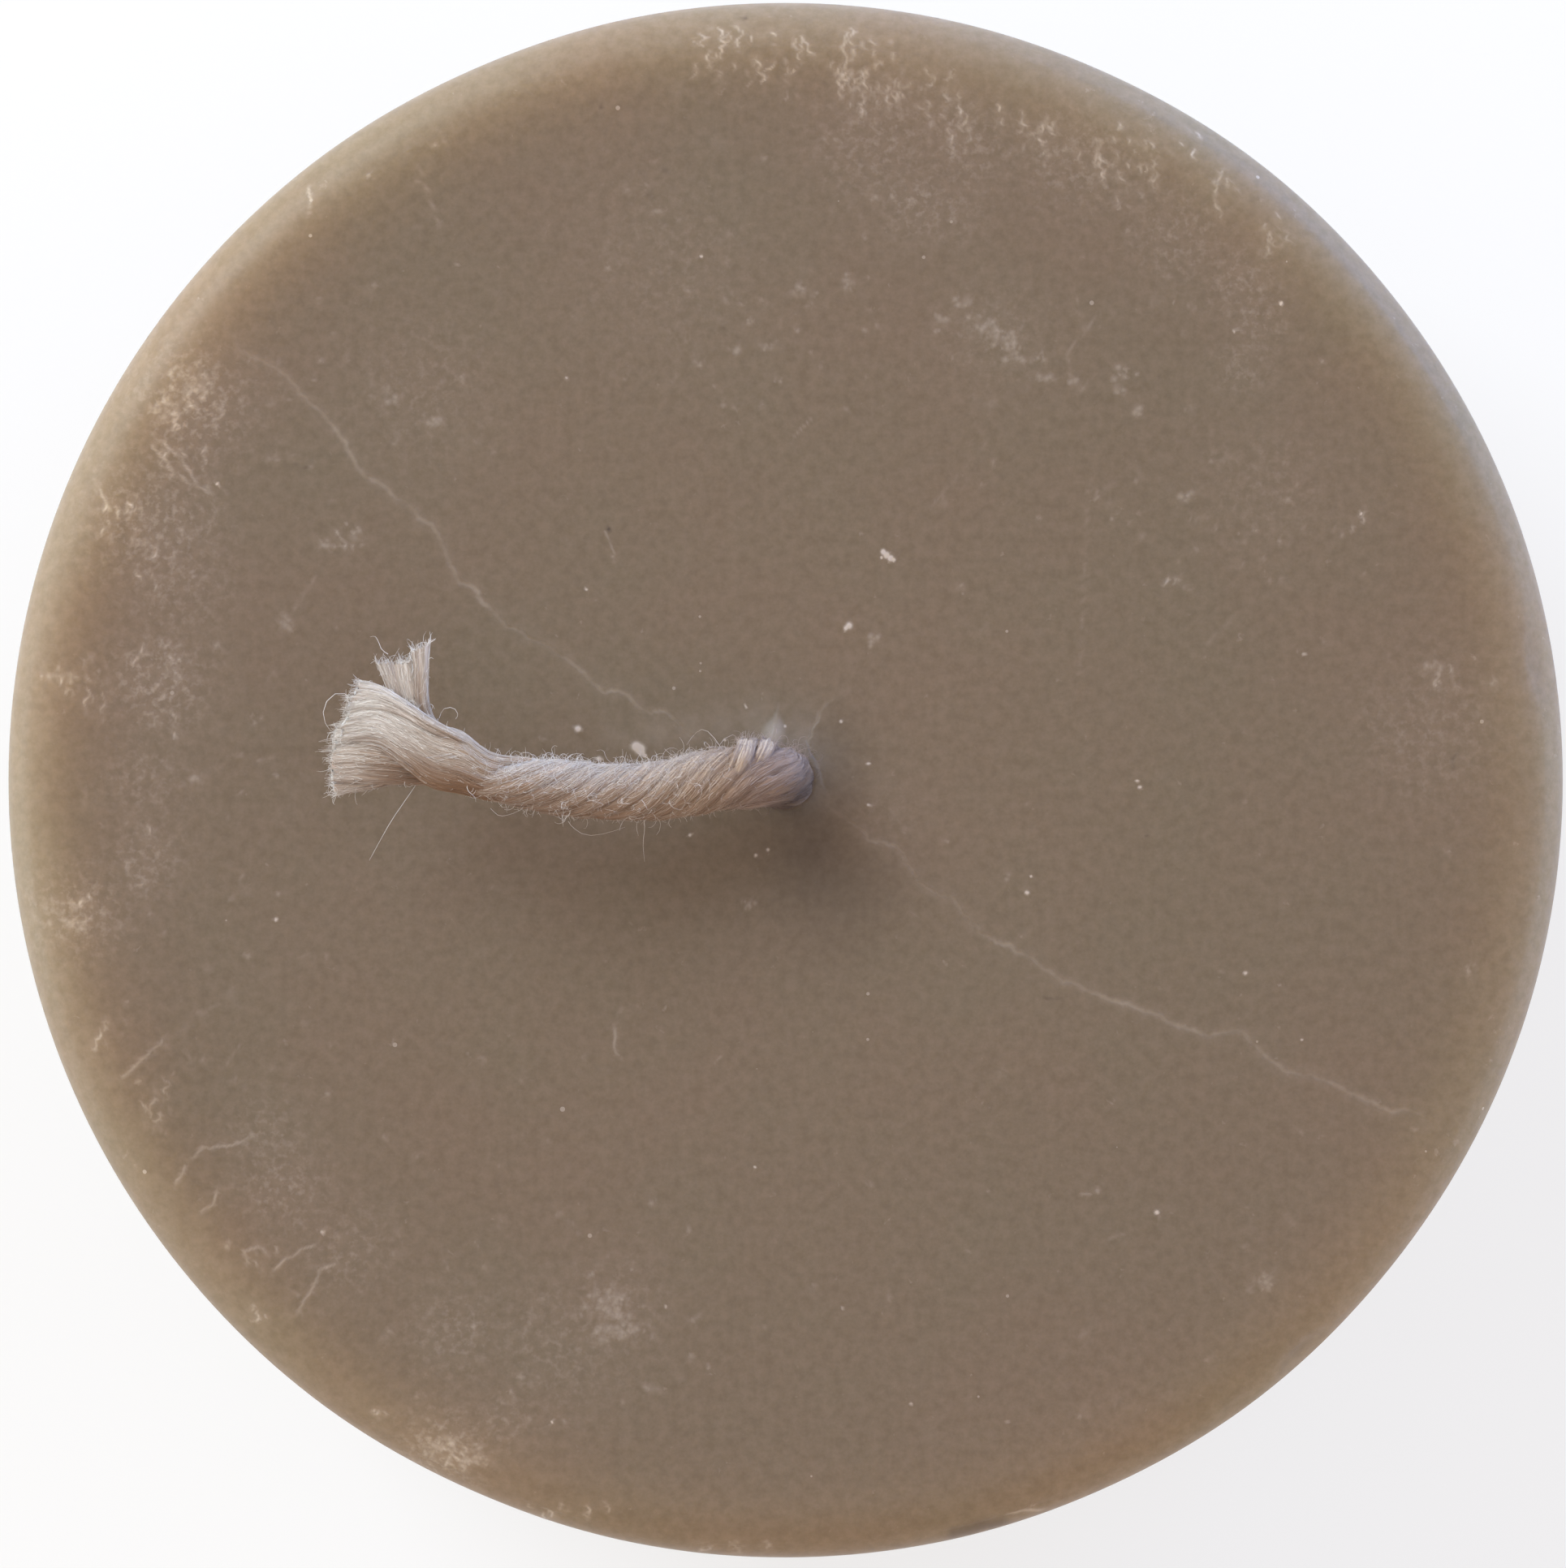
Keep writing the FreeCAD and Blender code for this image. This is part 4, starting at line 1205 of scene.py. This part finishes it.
def comb_cord(count, seed):
    """Fibres along the lay of the cord. A strand moves round by the whole grid in one lay length. Returns
    the paths and the stain and painted shade at their roots."""
    rng = np.random.default_rng(seed)
    rows = cord_skin.shape[0]
    row, column = rng.uniform(0.22, 0.98, count) * rows, rng.uniform(0, CORD_COLUMNS, count)
    length = rng.gamma(4, 0.45, count).clip(0.6, 3.5) * rng.choice([-1, 1], count)
    rows_long = length * 0.86 / CORD_STEP
    columns_long = rows_long * CORD_STEP / LAY_LENGTH * CORD_COLUMNS * rng.normal(1.0, 0.22, count)
    lift = rng.gamma(2, 0.018, count).clip(0.005, 0.14)
    paths = combed(cord_skin, row, column, rows_long, columns_long, lift, seed + 1)
    return paths, read_grid(cord_stain_and_shade[..., None], row, column)[:, 0]


def comb_blade(grid, stain_and_shade, count, seed):
    """Fibres along a blade, from anywhere on it towards its cut end, a few just past it."""
    rng = np.random.default_rng(seed)
    row, column = rng.uniform(0, 0.93, count) * BLADE_ROWS, rng.uniform(0, BLADE_COLUMNS, count)
    rows_long = np.minimum(rng.uniform(14, 48, count), BLADE_ROWS + rng.gamma(1.5, 0.9, count) - 1 - row)
    columns_long, lift = rng.normal(0, 2.2, count), rng.gamma(2, 0.012, count).clip(0.004, 0.1)
    paths = combed(grid, row, column, rows_long, columns_long, lift, seed + 1)
    return paths, read_grid((stain_and_shade + 0 * grid[..., 0])[..., None], row, column)[:, 0]


on_cord = [comb_cord(COMBED_ON_CORD, 51)]
on_tuft = [
    comb_blade(grid, stain_and_shade, count, 53 + 2 * number)
    for number, (grid, stain_and_shade, count) in enumerate(zip(blade_skins, blade_stains_and_shades, COMBED_ON_BLADES))
]
for name, parts in (("wick_combed_cord", on_cord), ("wick_combed_tuft", on_tuft)):
    paths, stain_and_shade = (np.concatenate([part[k] for part in parts]) for k in (0, 1))
    rng = np.random.default_rng(len(paths))
    points, faces, caps = fibre_tubes(paths, COMBED_RADIUS * rng.uniform(0.75, 1.35, len(paths)))
    laid = mesh_object(name, points, faces, caps)
    keep_value(laid.data, "stain_and_shade", np.repeat(stain_and_shade, COMBED_STEPS * 3))
    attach(laid, "root")
    print(name, "faces:", len(laid.data.polygons), "fibres:", len(paths))

# %% [markdown]
# The loose hair is thickest along the upper side of the cord and at the cut. Most hairs are under a
# millimetre and hug the cord; the stray ones are placed one by one, each a course in millimetres
# with its height above the top. A hair is 0.012 to 0.022 mm thick, as cotton is, and the strays and
# the combed fibres are a little thicker, so that they show.

# %% Loose and stray fibres
STRAYS = [
    [(-9.72, -1.84, 2.6), (-9.5, -2.13, 2.4), (-8.93, -2.46, 2.2), (-8.09, -2.39, 2.3), (-7.18, -2.1, 2.4)],
    [(-6.38, -1.55, 2.6), (-6.31, -2.13, 2.2), (-6.39, -2.86, 1.5), (-6.32, -3.66, 0.8)],
    [(-13.18, -1.26, 3.6), (-12.79, -1.59, 3.4), (-12.25, -1.51, 3.3), (-11.7, -1.26, 3.4)],
    [(-16.46, -0.17, 4.4), (-16.95, -0.86, 3.6), (-17.71, -1.95, 2.4), (-18.64, -3.59, 1.2)],
    [(-19.21, 3.51, 6.0), (-19.78, 3.91, 6.2), (-20.36, 3.58, 6.2), (-20.58, 2.93, 6.1),
     (-20.37, 2.32, 6.0), (-20.01, 2.07, 5.9)],
    [(-17.7, 5.61, 5.8), (-17.98, 5.82, 5.9), (-18.13, 6.18, 5.9), (-18.28, 6.4, 5.8), (-18.49, 6.37, 5.8)],
    [(-15.43, 2.76, 5.3), (-15.25, 3.15, 5.6), (-14.81, 3.22, 5.8), (-14.59, 2.93, 5.7),
     (-14.7, 2.72, 5.6)],
    [(-3.04, 1.28, 3.3), (-2.82, 1.79, 3.2), (-2.24, 2.04, 3.0), (-2.32, 1.57, 2.9), (-2.03, 1.28, 3.0)],
    [(-2.71, 1.13, 3.5), (-3.11, 1.78, 3.4), (-3.62, 2.26, 3.0), (-4.06, 2.08, 2.4), (-4.43, 1.57, 2.0)],
]
HAIRS_TRIED = 11000
HAIRS_PER_BLADE = 110
HAIR_RADIUS = (0.006, 0.011)
STRAY_RADIUS = 0.012


def ahead_of(grid, row, column):
    """Unit vectors along a skin grid, from the row before to the row after."""
    ahead = grid[np.minimum(row + 1, len(grid) - 1), column] - grid[row - 1, column]
    return ahead / np.linalg.norm(ahead, axis=1, keepdims=True)


def cord_hairs(rng):
    """Short hairs off the cord. More of those tried are kept on its upper side, then on its lower side and
    by the foot."""
    normal = outward(cord_skin, cord_skin.mean(1, keepdims=True))
    row = rng.integers(int(0.16 * cord_skin.shape[0]), cord_skin.shape[0] - 1, HAIRS_TRIED)
    column = rng.integers(0, CORD_COLUMNS, HAIRS_TRIED)
    side = normal[row, column, 1] * 0.8 + normal[row, column, 2] * 0.25
    often = (normal[row, column, 1] < -0.3) | (row < 0.3 * len(cord_skin))
    share = np.where(side > 0.1, 0.14 + 0.4 * side, np.where(often, 0.2, 0.05))
    kept = rng.uniform(0, 1, HAIRS_TRIED) < share
    row, column = row[kept], column[kept]
    out, ahead, each = normal[row, column], ahead_of(cord_skin, row, column), (len(row), 1)
    heading = out * rng.uniform(0.15, 0.9, each) + ahead * rng.choice([-1.0, 1.0], each) * 0.8
    heading = heading + 0.4 * rng.normal(size=out.shape)
    heading /= np.linalg.norm(heading, axis=1, keepdims=True)
    length = rng.gamma(2.6, 0.2, len(row)).clip(0.2, 1.5) * np.where(out[:, 1] < -0.3, 0.65, 1.0)
    return grow(cord_skin[row, column], heading, length, 2.6, 72), rng.uniform(*HAIR_RADIUS, len(row))


def blade_hairs(grid, rng, seed):
    """Hairs off one blade, half of them from its cut end."""
    count = HAIRS_PER_BLADE
    normal = outward(grid, grid.mean(1, keepdims=True))
    row = rng.integers(int(0.3 * BLADE_ROWS), BLADE_ROWS - 1, count)
    row[: count // 2] = BLADE_ROWS - 2
    column = rng.integers(0, BLADE_COLUMNS, count)
    ahead = ahead_of(grid, row, column)
    heading = normal[row, column] * rng.uniform(0.05, 0.5, (count, 1)) + ahead
    heading = heading + 0.35 * rng.normal(size=ahead.shape)
    heading /= np.linalg.norm(heading, axis=1, keepdims=True)
    length = rng.gamma(2.4, 0.16, count).clip(0.15, 1.1)
    return grow(grid[row, column], heading, length, 2.4, seed), rng.uniform(*HAIR_RADIUS, count)


def make_fuzz():
    """All the hairs and the stray fibres in one mesh, kept above the wax and under the CAD wick's top."""
    rng = np.random.default_rng(71)
    batches = [cord_hairs(rng)] + [blade_hairs(grid, rng, 80 + n) for n, grid in enumerate(blade_skins)]
    strays = np.stack([smooth_course(course, HAIR_STEPS) + [0, 0, BODY_HEIGHT] for course in STRAYS])
    batches.append((strays, np.full(len(strays), STRAY_RADIUS)))
    path = np.concatenate([batch[0] for batch in batches])
    path[..., 2] = np.clip(path[..., 2], BODY_HEIGHT + 0.05, BODY_HEIGHT + 7.45)
    points, faces, caps = fibre_tubes(path, np.concatenate([batch[1] for batch in batches]))
    return mesh_object("wick_fuzz", points, faces, caps)


fuzz = make_fuzz()
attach(fuzz, "root")
print("fuzz faces:", len(fuzz.data.polygons))

# %% [markdown]
# ## Cotton
# Wick yarn is off-white cotton, a mass of fibres a fiftieth of a millimetre thick. Up close it is
# matte and a little see-through, lit from inside, with fine streaks where the fibres lie side by
# side. The streaks follow the strands, so the pattern reads the piece's own map, whose first
# number counts strands and whose second is millimetres along. Wax darkens it and turns it tan. Its
# lower side and the lower right of its foot are also painted darker, as painted shade.

# %% Cotton material
COTTON = linear("#E6E3E0")
COTTON_SHADE = linear("#CEC5BF")
COTTON_WAXED = linear("#BDAA99")
COTTON_WAXED_SHADE = linear("#AA9582")
# Tan of wax stain, also used as painted shade on the cord's lower side and in the blades' folds.
COTTON_STAIN_AND_SHADE = linear("#8F735E")
COTTON_SOAKED = linear("#9A8478")
# Painted shade at the lower right of the wick's foot, and the direction it grows in.
COTTON_FOOT_SHADE = linear("#5E4C40")
FOOT_SHADE_SIDE = (0.75, -0.66, 0)


def foot_painted_shade(tree):
    """How much painted shade the cotton gets, 0 to 1: it grows towards the lower right of the foot, the
    side away from the light."""
    place = add_node(tree, "ShaderNodeTexCoord").outputs["Object"]
    toward = add_node(tree, "ShaderNodeVectorMath", {0: place, 1: FOOT_SHADE_SIDE}, operation="DOT_PRODUCT")
    share = add_node(tree, "ShaderNodeMapRange", {
        "Value": toward.outputs["Value"], "From Min": -0.32 * MM, "From Max": 1.0 * MM,
    }, interpolation_type="SMOOTHSTEP")
    return share.outputs[0]


def make_cotton_material(name, streaks, stretch):
    """Laid cotton: streaks per strand across, stretch per millimetre along. With the length along it
    goes from soaked in the bore through waxed to fresh at the tip, and on top come its stain, which is
    wax stain and painted shade, and the painted shade at the lower right of the foot."""
    material, tree, out = new_material(name)
    along = add_node(tree, "ShaderNodeUVMap", uv_map="along").outputs[0]
    laid = add_node(tree, "ShaderNodeMapping", {"Vector": along, "Scale": (streaks, stretch, 1)}).outputs[0]
    fine = add_node(tree, "ShaderNodeTexNoise", {
        "Vector": laid, "Scale": 1.0, "Detail": 3, "Roughness": 0.65,
    })
    shade = add_node(tree, "ShaderNodeMapRange", {
        "Value": fine.outputs[0], "From Min": 0.3, "From Max": 0.62,
    })
    length = add_node(tree, "ShaderNodeSeparateXYZ", {0: along}).outputs[1]
    dry = add_node(tree, "ShaderNodeMapRange", {
        "Value": length, "From Min": 17.5, "From Max": 24.5,
    }, interpolation_type="SMOOTHSTEP")
    bored = add_node(tree, "ShaderNodeMapRange", {
        "Value": length, "From Min": 9.5, "From Max": 5.0,
    }, interpolation_type="SMOOTHSTEP")
    fresh = add_node(tree, "ShaderNodeMix", {
        "Factor": shade.outputs[0], 6: COTTON_SHADE, 7: COTTON,
    }, data_type="RGBA")
    waxed = add_node(tree, "ShaderNodeMix", {
        "Factor": shade.outputs[0], 6: COTTON_WAXED_SHADE, 7: COTTON_WAXED,
    }, data_type="RGBA")
    colour = add_node(tree, "ShaderNodeMix", {
        "Factor": dry.outputs[0], 6: waxed.outputs[2], 7: fresh.outputs[2],
    }, data_type="RGBA")
    stain_and_shade = add_node(tree, "ShaderNodeAttribute", attribute_name="stain_and_shade").outputs["Fac"]
    # The stain share is wax stain and painted shade, and the last share is painted shade at the foot.
    layers = (stain_and_shade, COTTON_STAIN_AND_SHADE), (bored.outputs[0], COTTON_SOAKED), (foot_painted_shade(tree), COTTON_FOOT_SHADE)
    for share, over in layers:
        inputs = {"Factor": share, 6: colour.outputs[2], 7: over}
        colour = add_node(tree, "ShaderNodeMix", inputs, data_type="RGBA")
    bump = add_node(tree, "ShaderNodeBump", {
        "Height": fine.outputs[0], "Strength": 0.7, "Distance": 0.03 * MM,
    })
    shader = add_node(tree, "ShaderNodeBsdfPrincipled", {
        "Base Color": colour.outputs[2], "Roughness": 0.9, "Normal": bump.outputs[0],
        "IOR": 1.5, "Specular IOR Level": 0.2,
        "Subsurface Weight": 0.6, "Subsurface Radius": (1.0, 0.8, 0.65), "Subsurface Scale": 0.3 * MM,
        "Sheen Weight": 0.2, "Sheen Roughness": 0.5, "Sheen Tint": linear("#FFFFFF"),
    })
    tree.links.new(shader.outputs[0], out.inputs["Surface"])
    return material


laid_cotton = make_cotton_material("cotton_laid", 7.0, 1.1)
cord.data.materials.append(laid_cotton)
tuft.data.materials.append(laid_cotton)


# Fibre tones: wax stain with painted shade, soaked with wax, and painted shade at the lower right of the
# foot.
FIBRE_STAIN_AND_SHADE = linear("#A08066")
FIBRE_SOAKED = linear("#A8958D")
FIBRE_FOOT_SHADE = linear("#6E5F58")


def make_fibre_material(name, far, near):
    """Single cotton fibres. Those near the foot hold wax and are darker: the tone goes from near to far
    with the distance from the bore, 3 to 17 mm, and the stain of their strand, wax stain and painted
    shade, turns them tan. Painted shade darkens them at the lower right of the foot."""
    material, tree, out = new_material(name)
    place = add_node(tree, "ShaderNodeTexCoord").outputs["Object"]
    out_by = add_node(tree, "ShaderNodeSeparateXYZ", {0: place}).outputs[0]
    share = add_node(tree, "ShaderNodeMapRange", {"Value": out_by, "From Min": -3 * MM, "From Max": -17 * MM})
    tone = add_node(tree, "ShaderNodeMix", {"Factor": share.outputs[0], 6: near, 7: far}, data_type="RGBA")
    foot = add_node(tree, "ShaderNodeMapRange", {
        "Value": out_by, "From Min": -4.5 * MM, "From Max": -0.5 * MM,
    }, interpolation_type="SMOOTHSTEP")
    stain_and_shade = add_node(tree, "ShaderNodeAttribute", attribute_name="stain_and_shade").outputs["Fac"]
    # The stain share is wax stain and painted shade, and the last share is painted shade at the foot.
    layers = (stain_and_shade, FIBRE_STAIN_AND_SHADE), (foot.outputs[0], FIBRE_SOAKED), (foot_painted_shade(tree), FIBRE_FOOT_SHADE)
    for share, over in layers:
        inputs = {"Factor": share, 6: tone.outputs[2], 7: over}
        tone = add_node(tree, "ShaderNodeMix", inputs, data_type="RGBA")
    shader = add_node(tree, "ShaderNodeBsdfPrincipled", {
        "Base Color": tone.outputs[2], "Roughness": 0.75, "IOR": 1.5, "Specular IOR Level": 0.2,
    })
    tree.links.new(shader.outputs[0], out.inputs["Surface"])
    return material


loose_fibre = make_fibre_material("cotton_loose_fibre", linear("#F4F1EE"), linear("#DCD0C6"))
laid_fibre = make_fibre_material("cotton_combed_fibre", linear("#F1EDE8"), linear("#CEBCAA"))
fuzz.data.materials.append(loose_fibre)
for name in ("wick_combed_cord", "wick_combed_tuft"):
    bpy.data.objects[name].data.materials.append(laid_fibre)
print("nodes of the cotton:", len(laid_cotton.node_tree.nodes))

# %% [markdown]
# ## Light, floor and camera
# The candle stands on a white floor under a warm, even sky. A broad window stands on the upper
# left, so the wick's shadow falls to the lower right. Three low, cool lamps at the height of the
# top give the rim its glow on the left, on the right and, bluish, on the far right.

# %% Stage
LAMP_AIM = 0.09
FLOOR_HALF = 3


def area_lamp(name, azimuth, elevation, distance, size, watts, colour):
    """A broad soft lamp that looks at a point just under the candle's top from an azimuth and elevation in
    degrees, at a distance in metres."""
    lamp = bpy.data.lights.new(name, "AREA")
    lamp.shape, lamp.size, lamp.size_y = "RECTANGLE", size[0], size[1]
    lamp.energy, lamp.color = watts, linear(colour)[:3]
    holder = bpy.data.objects.new(name, lamp)
    a, e = math.radians(azimuth), math.radians(elevation)
    from_aim = np.array([math.cos(a) * math.cos(e), math.sin(a) * math.cos(e), math.sin(e)])
    holder.location = from_aim * distance + np.array([0, 0, LAMP_AIM])
    direction = holder.location.copy()
    direction.z -= LAMP_AIM
    holder.rotation_euler = direction.to_track_quat("Z", "Y").to_euler()
    bpy.context.scene.collection.objects.link(holder)
    return holder


area_lamp("window", 137, 31, 0.9, (0.5, 0.4), 7.9, "#EAF6FF")
area_lamp("left_glow", 180, 4, 0.7, (0.5, 0.2), 1.65, "#D8F2FF")
area_lamp("far_glow", 45, 4, 0.7, (0.5, 0.2), 4.0, "#6CAEFF")
area_lamp("right_glow", 0, 4, 0.7, (0.5, 0.2), 1.9, "#D5EBFF")

world = bpy.data.worlds.new("studio")
world.use_nodes = True
tree = world.node_tree
tree.nodes.clear()
rays = add_node(tree, "ShaderNodeLightPath")
seen = add_node(tree, "ShaderNodeMath", {
    0: rays.outputs["Is Camera Ray"], 1: rays.outputs["Is Glossy Ray"],
}, operation="MAXIMUM")
seen = add_node(tree, "ShaderNodeMath", {
    0: seen.outputs[0], 1: rays.outputs["Is Transmission Ray"],
}, operation="MAXIMUM")
soft = add_node(tree, "ShaderNodeBackground", {"Color": linear("#FFEDE1"), "Strength": 0.7})
white = add_node(tree, "ShaderNodeBackground", {"Color": (1, 1, 1, 1), "Strength": 1.0})
mixed = add_node(tree, "ShaderNodeMixShader", {0: seen.outputs[0], 1: soft.outputs[0], 2: white.outputs[0]})
add_node(tree, "ShaderNodeOutputWorld", {"Surface": mixed.outputs[0]})
bpy.context.scene.world = world

floor_mesh = bpy.data.meshes.new("floor")
floor_corners = [(x * FLOOR_HALF, y * FLOOR_HALF, 0) for x, y in ((-1, -1), (1, -1), (1, 1), (-1, 1))]
floor_mesh.from_pydata(floor_corners, [], [(0, 1, 2, 3)])
floor = bpy.data.objects.new("floor", floor_mesh)
bpy.context.scene.collection.objects.link(floor)
material, tree, out = new_material("white_paper_floor")
rays = add_node(tree, "ShaderNodeLightPath")
paper = add_node(tree, "ShaderNodeBsdfDiffuse", {"Color": linear("#F6F6F6")})
glow = add_node(tree, "ShaderNodeEmission", {"Color": (1, 1, 1, 1), "Strength": 0.97})
lit = add_node(tree, "ShaderNodeMixShader", {0: 0.3, 1: glow.outputs[0], 2: paper.outputs[0]})
seen = add_node(tree, "ShaderNodeMixShader", {
    0: rays.outputs["Is Camera Ray"], 1: paper.outputs[0], 2: lit.outputs[0],
})
tree.links.new(seen.outputs[0], out.inputs["Surface"])
floor.data.materials.append(material)
print("floor side, m:", 2 * FLOOR_HALF)

# %% [markdown]
# The camera looks straight down on the top from three quarters of a metre, a little off the axis,
# as the photographer's did. The height of the view is measured at the rim, where the outline is.

# %% Camera
RIM_LEVEL = BODY_HEIGHT - RIM_BELOW_TOP
VIEW_HEIGHT = 70.53
SENSOR = 24
camera_data = bpy.data.cameras.new("camera")
camera_data.sensor_fit = "VERTICAL"
camera_data.sensor_height = SENSOR
camera_data.lens = SENSOR * CAMERA_RISE / VIEW_HEIGHT
camera_data.clip_start, camera_data.clip_end = 0.05, 20
camera = bpy.data.objects.new("camera", camera_data)
camera.location = (LENS_OFF_AXIS[0] * MM, LENS_OFF_AXIS[1] * MM, (RIM_LEVEL + CAMERA_RISE) * MM)
bpy.context.scene.collection.objects.link(camera)
bpy.context.scene.camera = camera
bpy.context.scene.view_settings.view_transform = "Standard"
print("lens, mm:", round(camera_data.lens, 1))
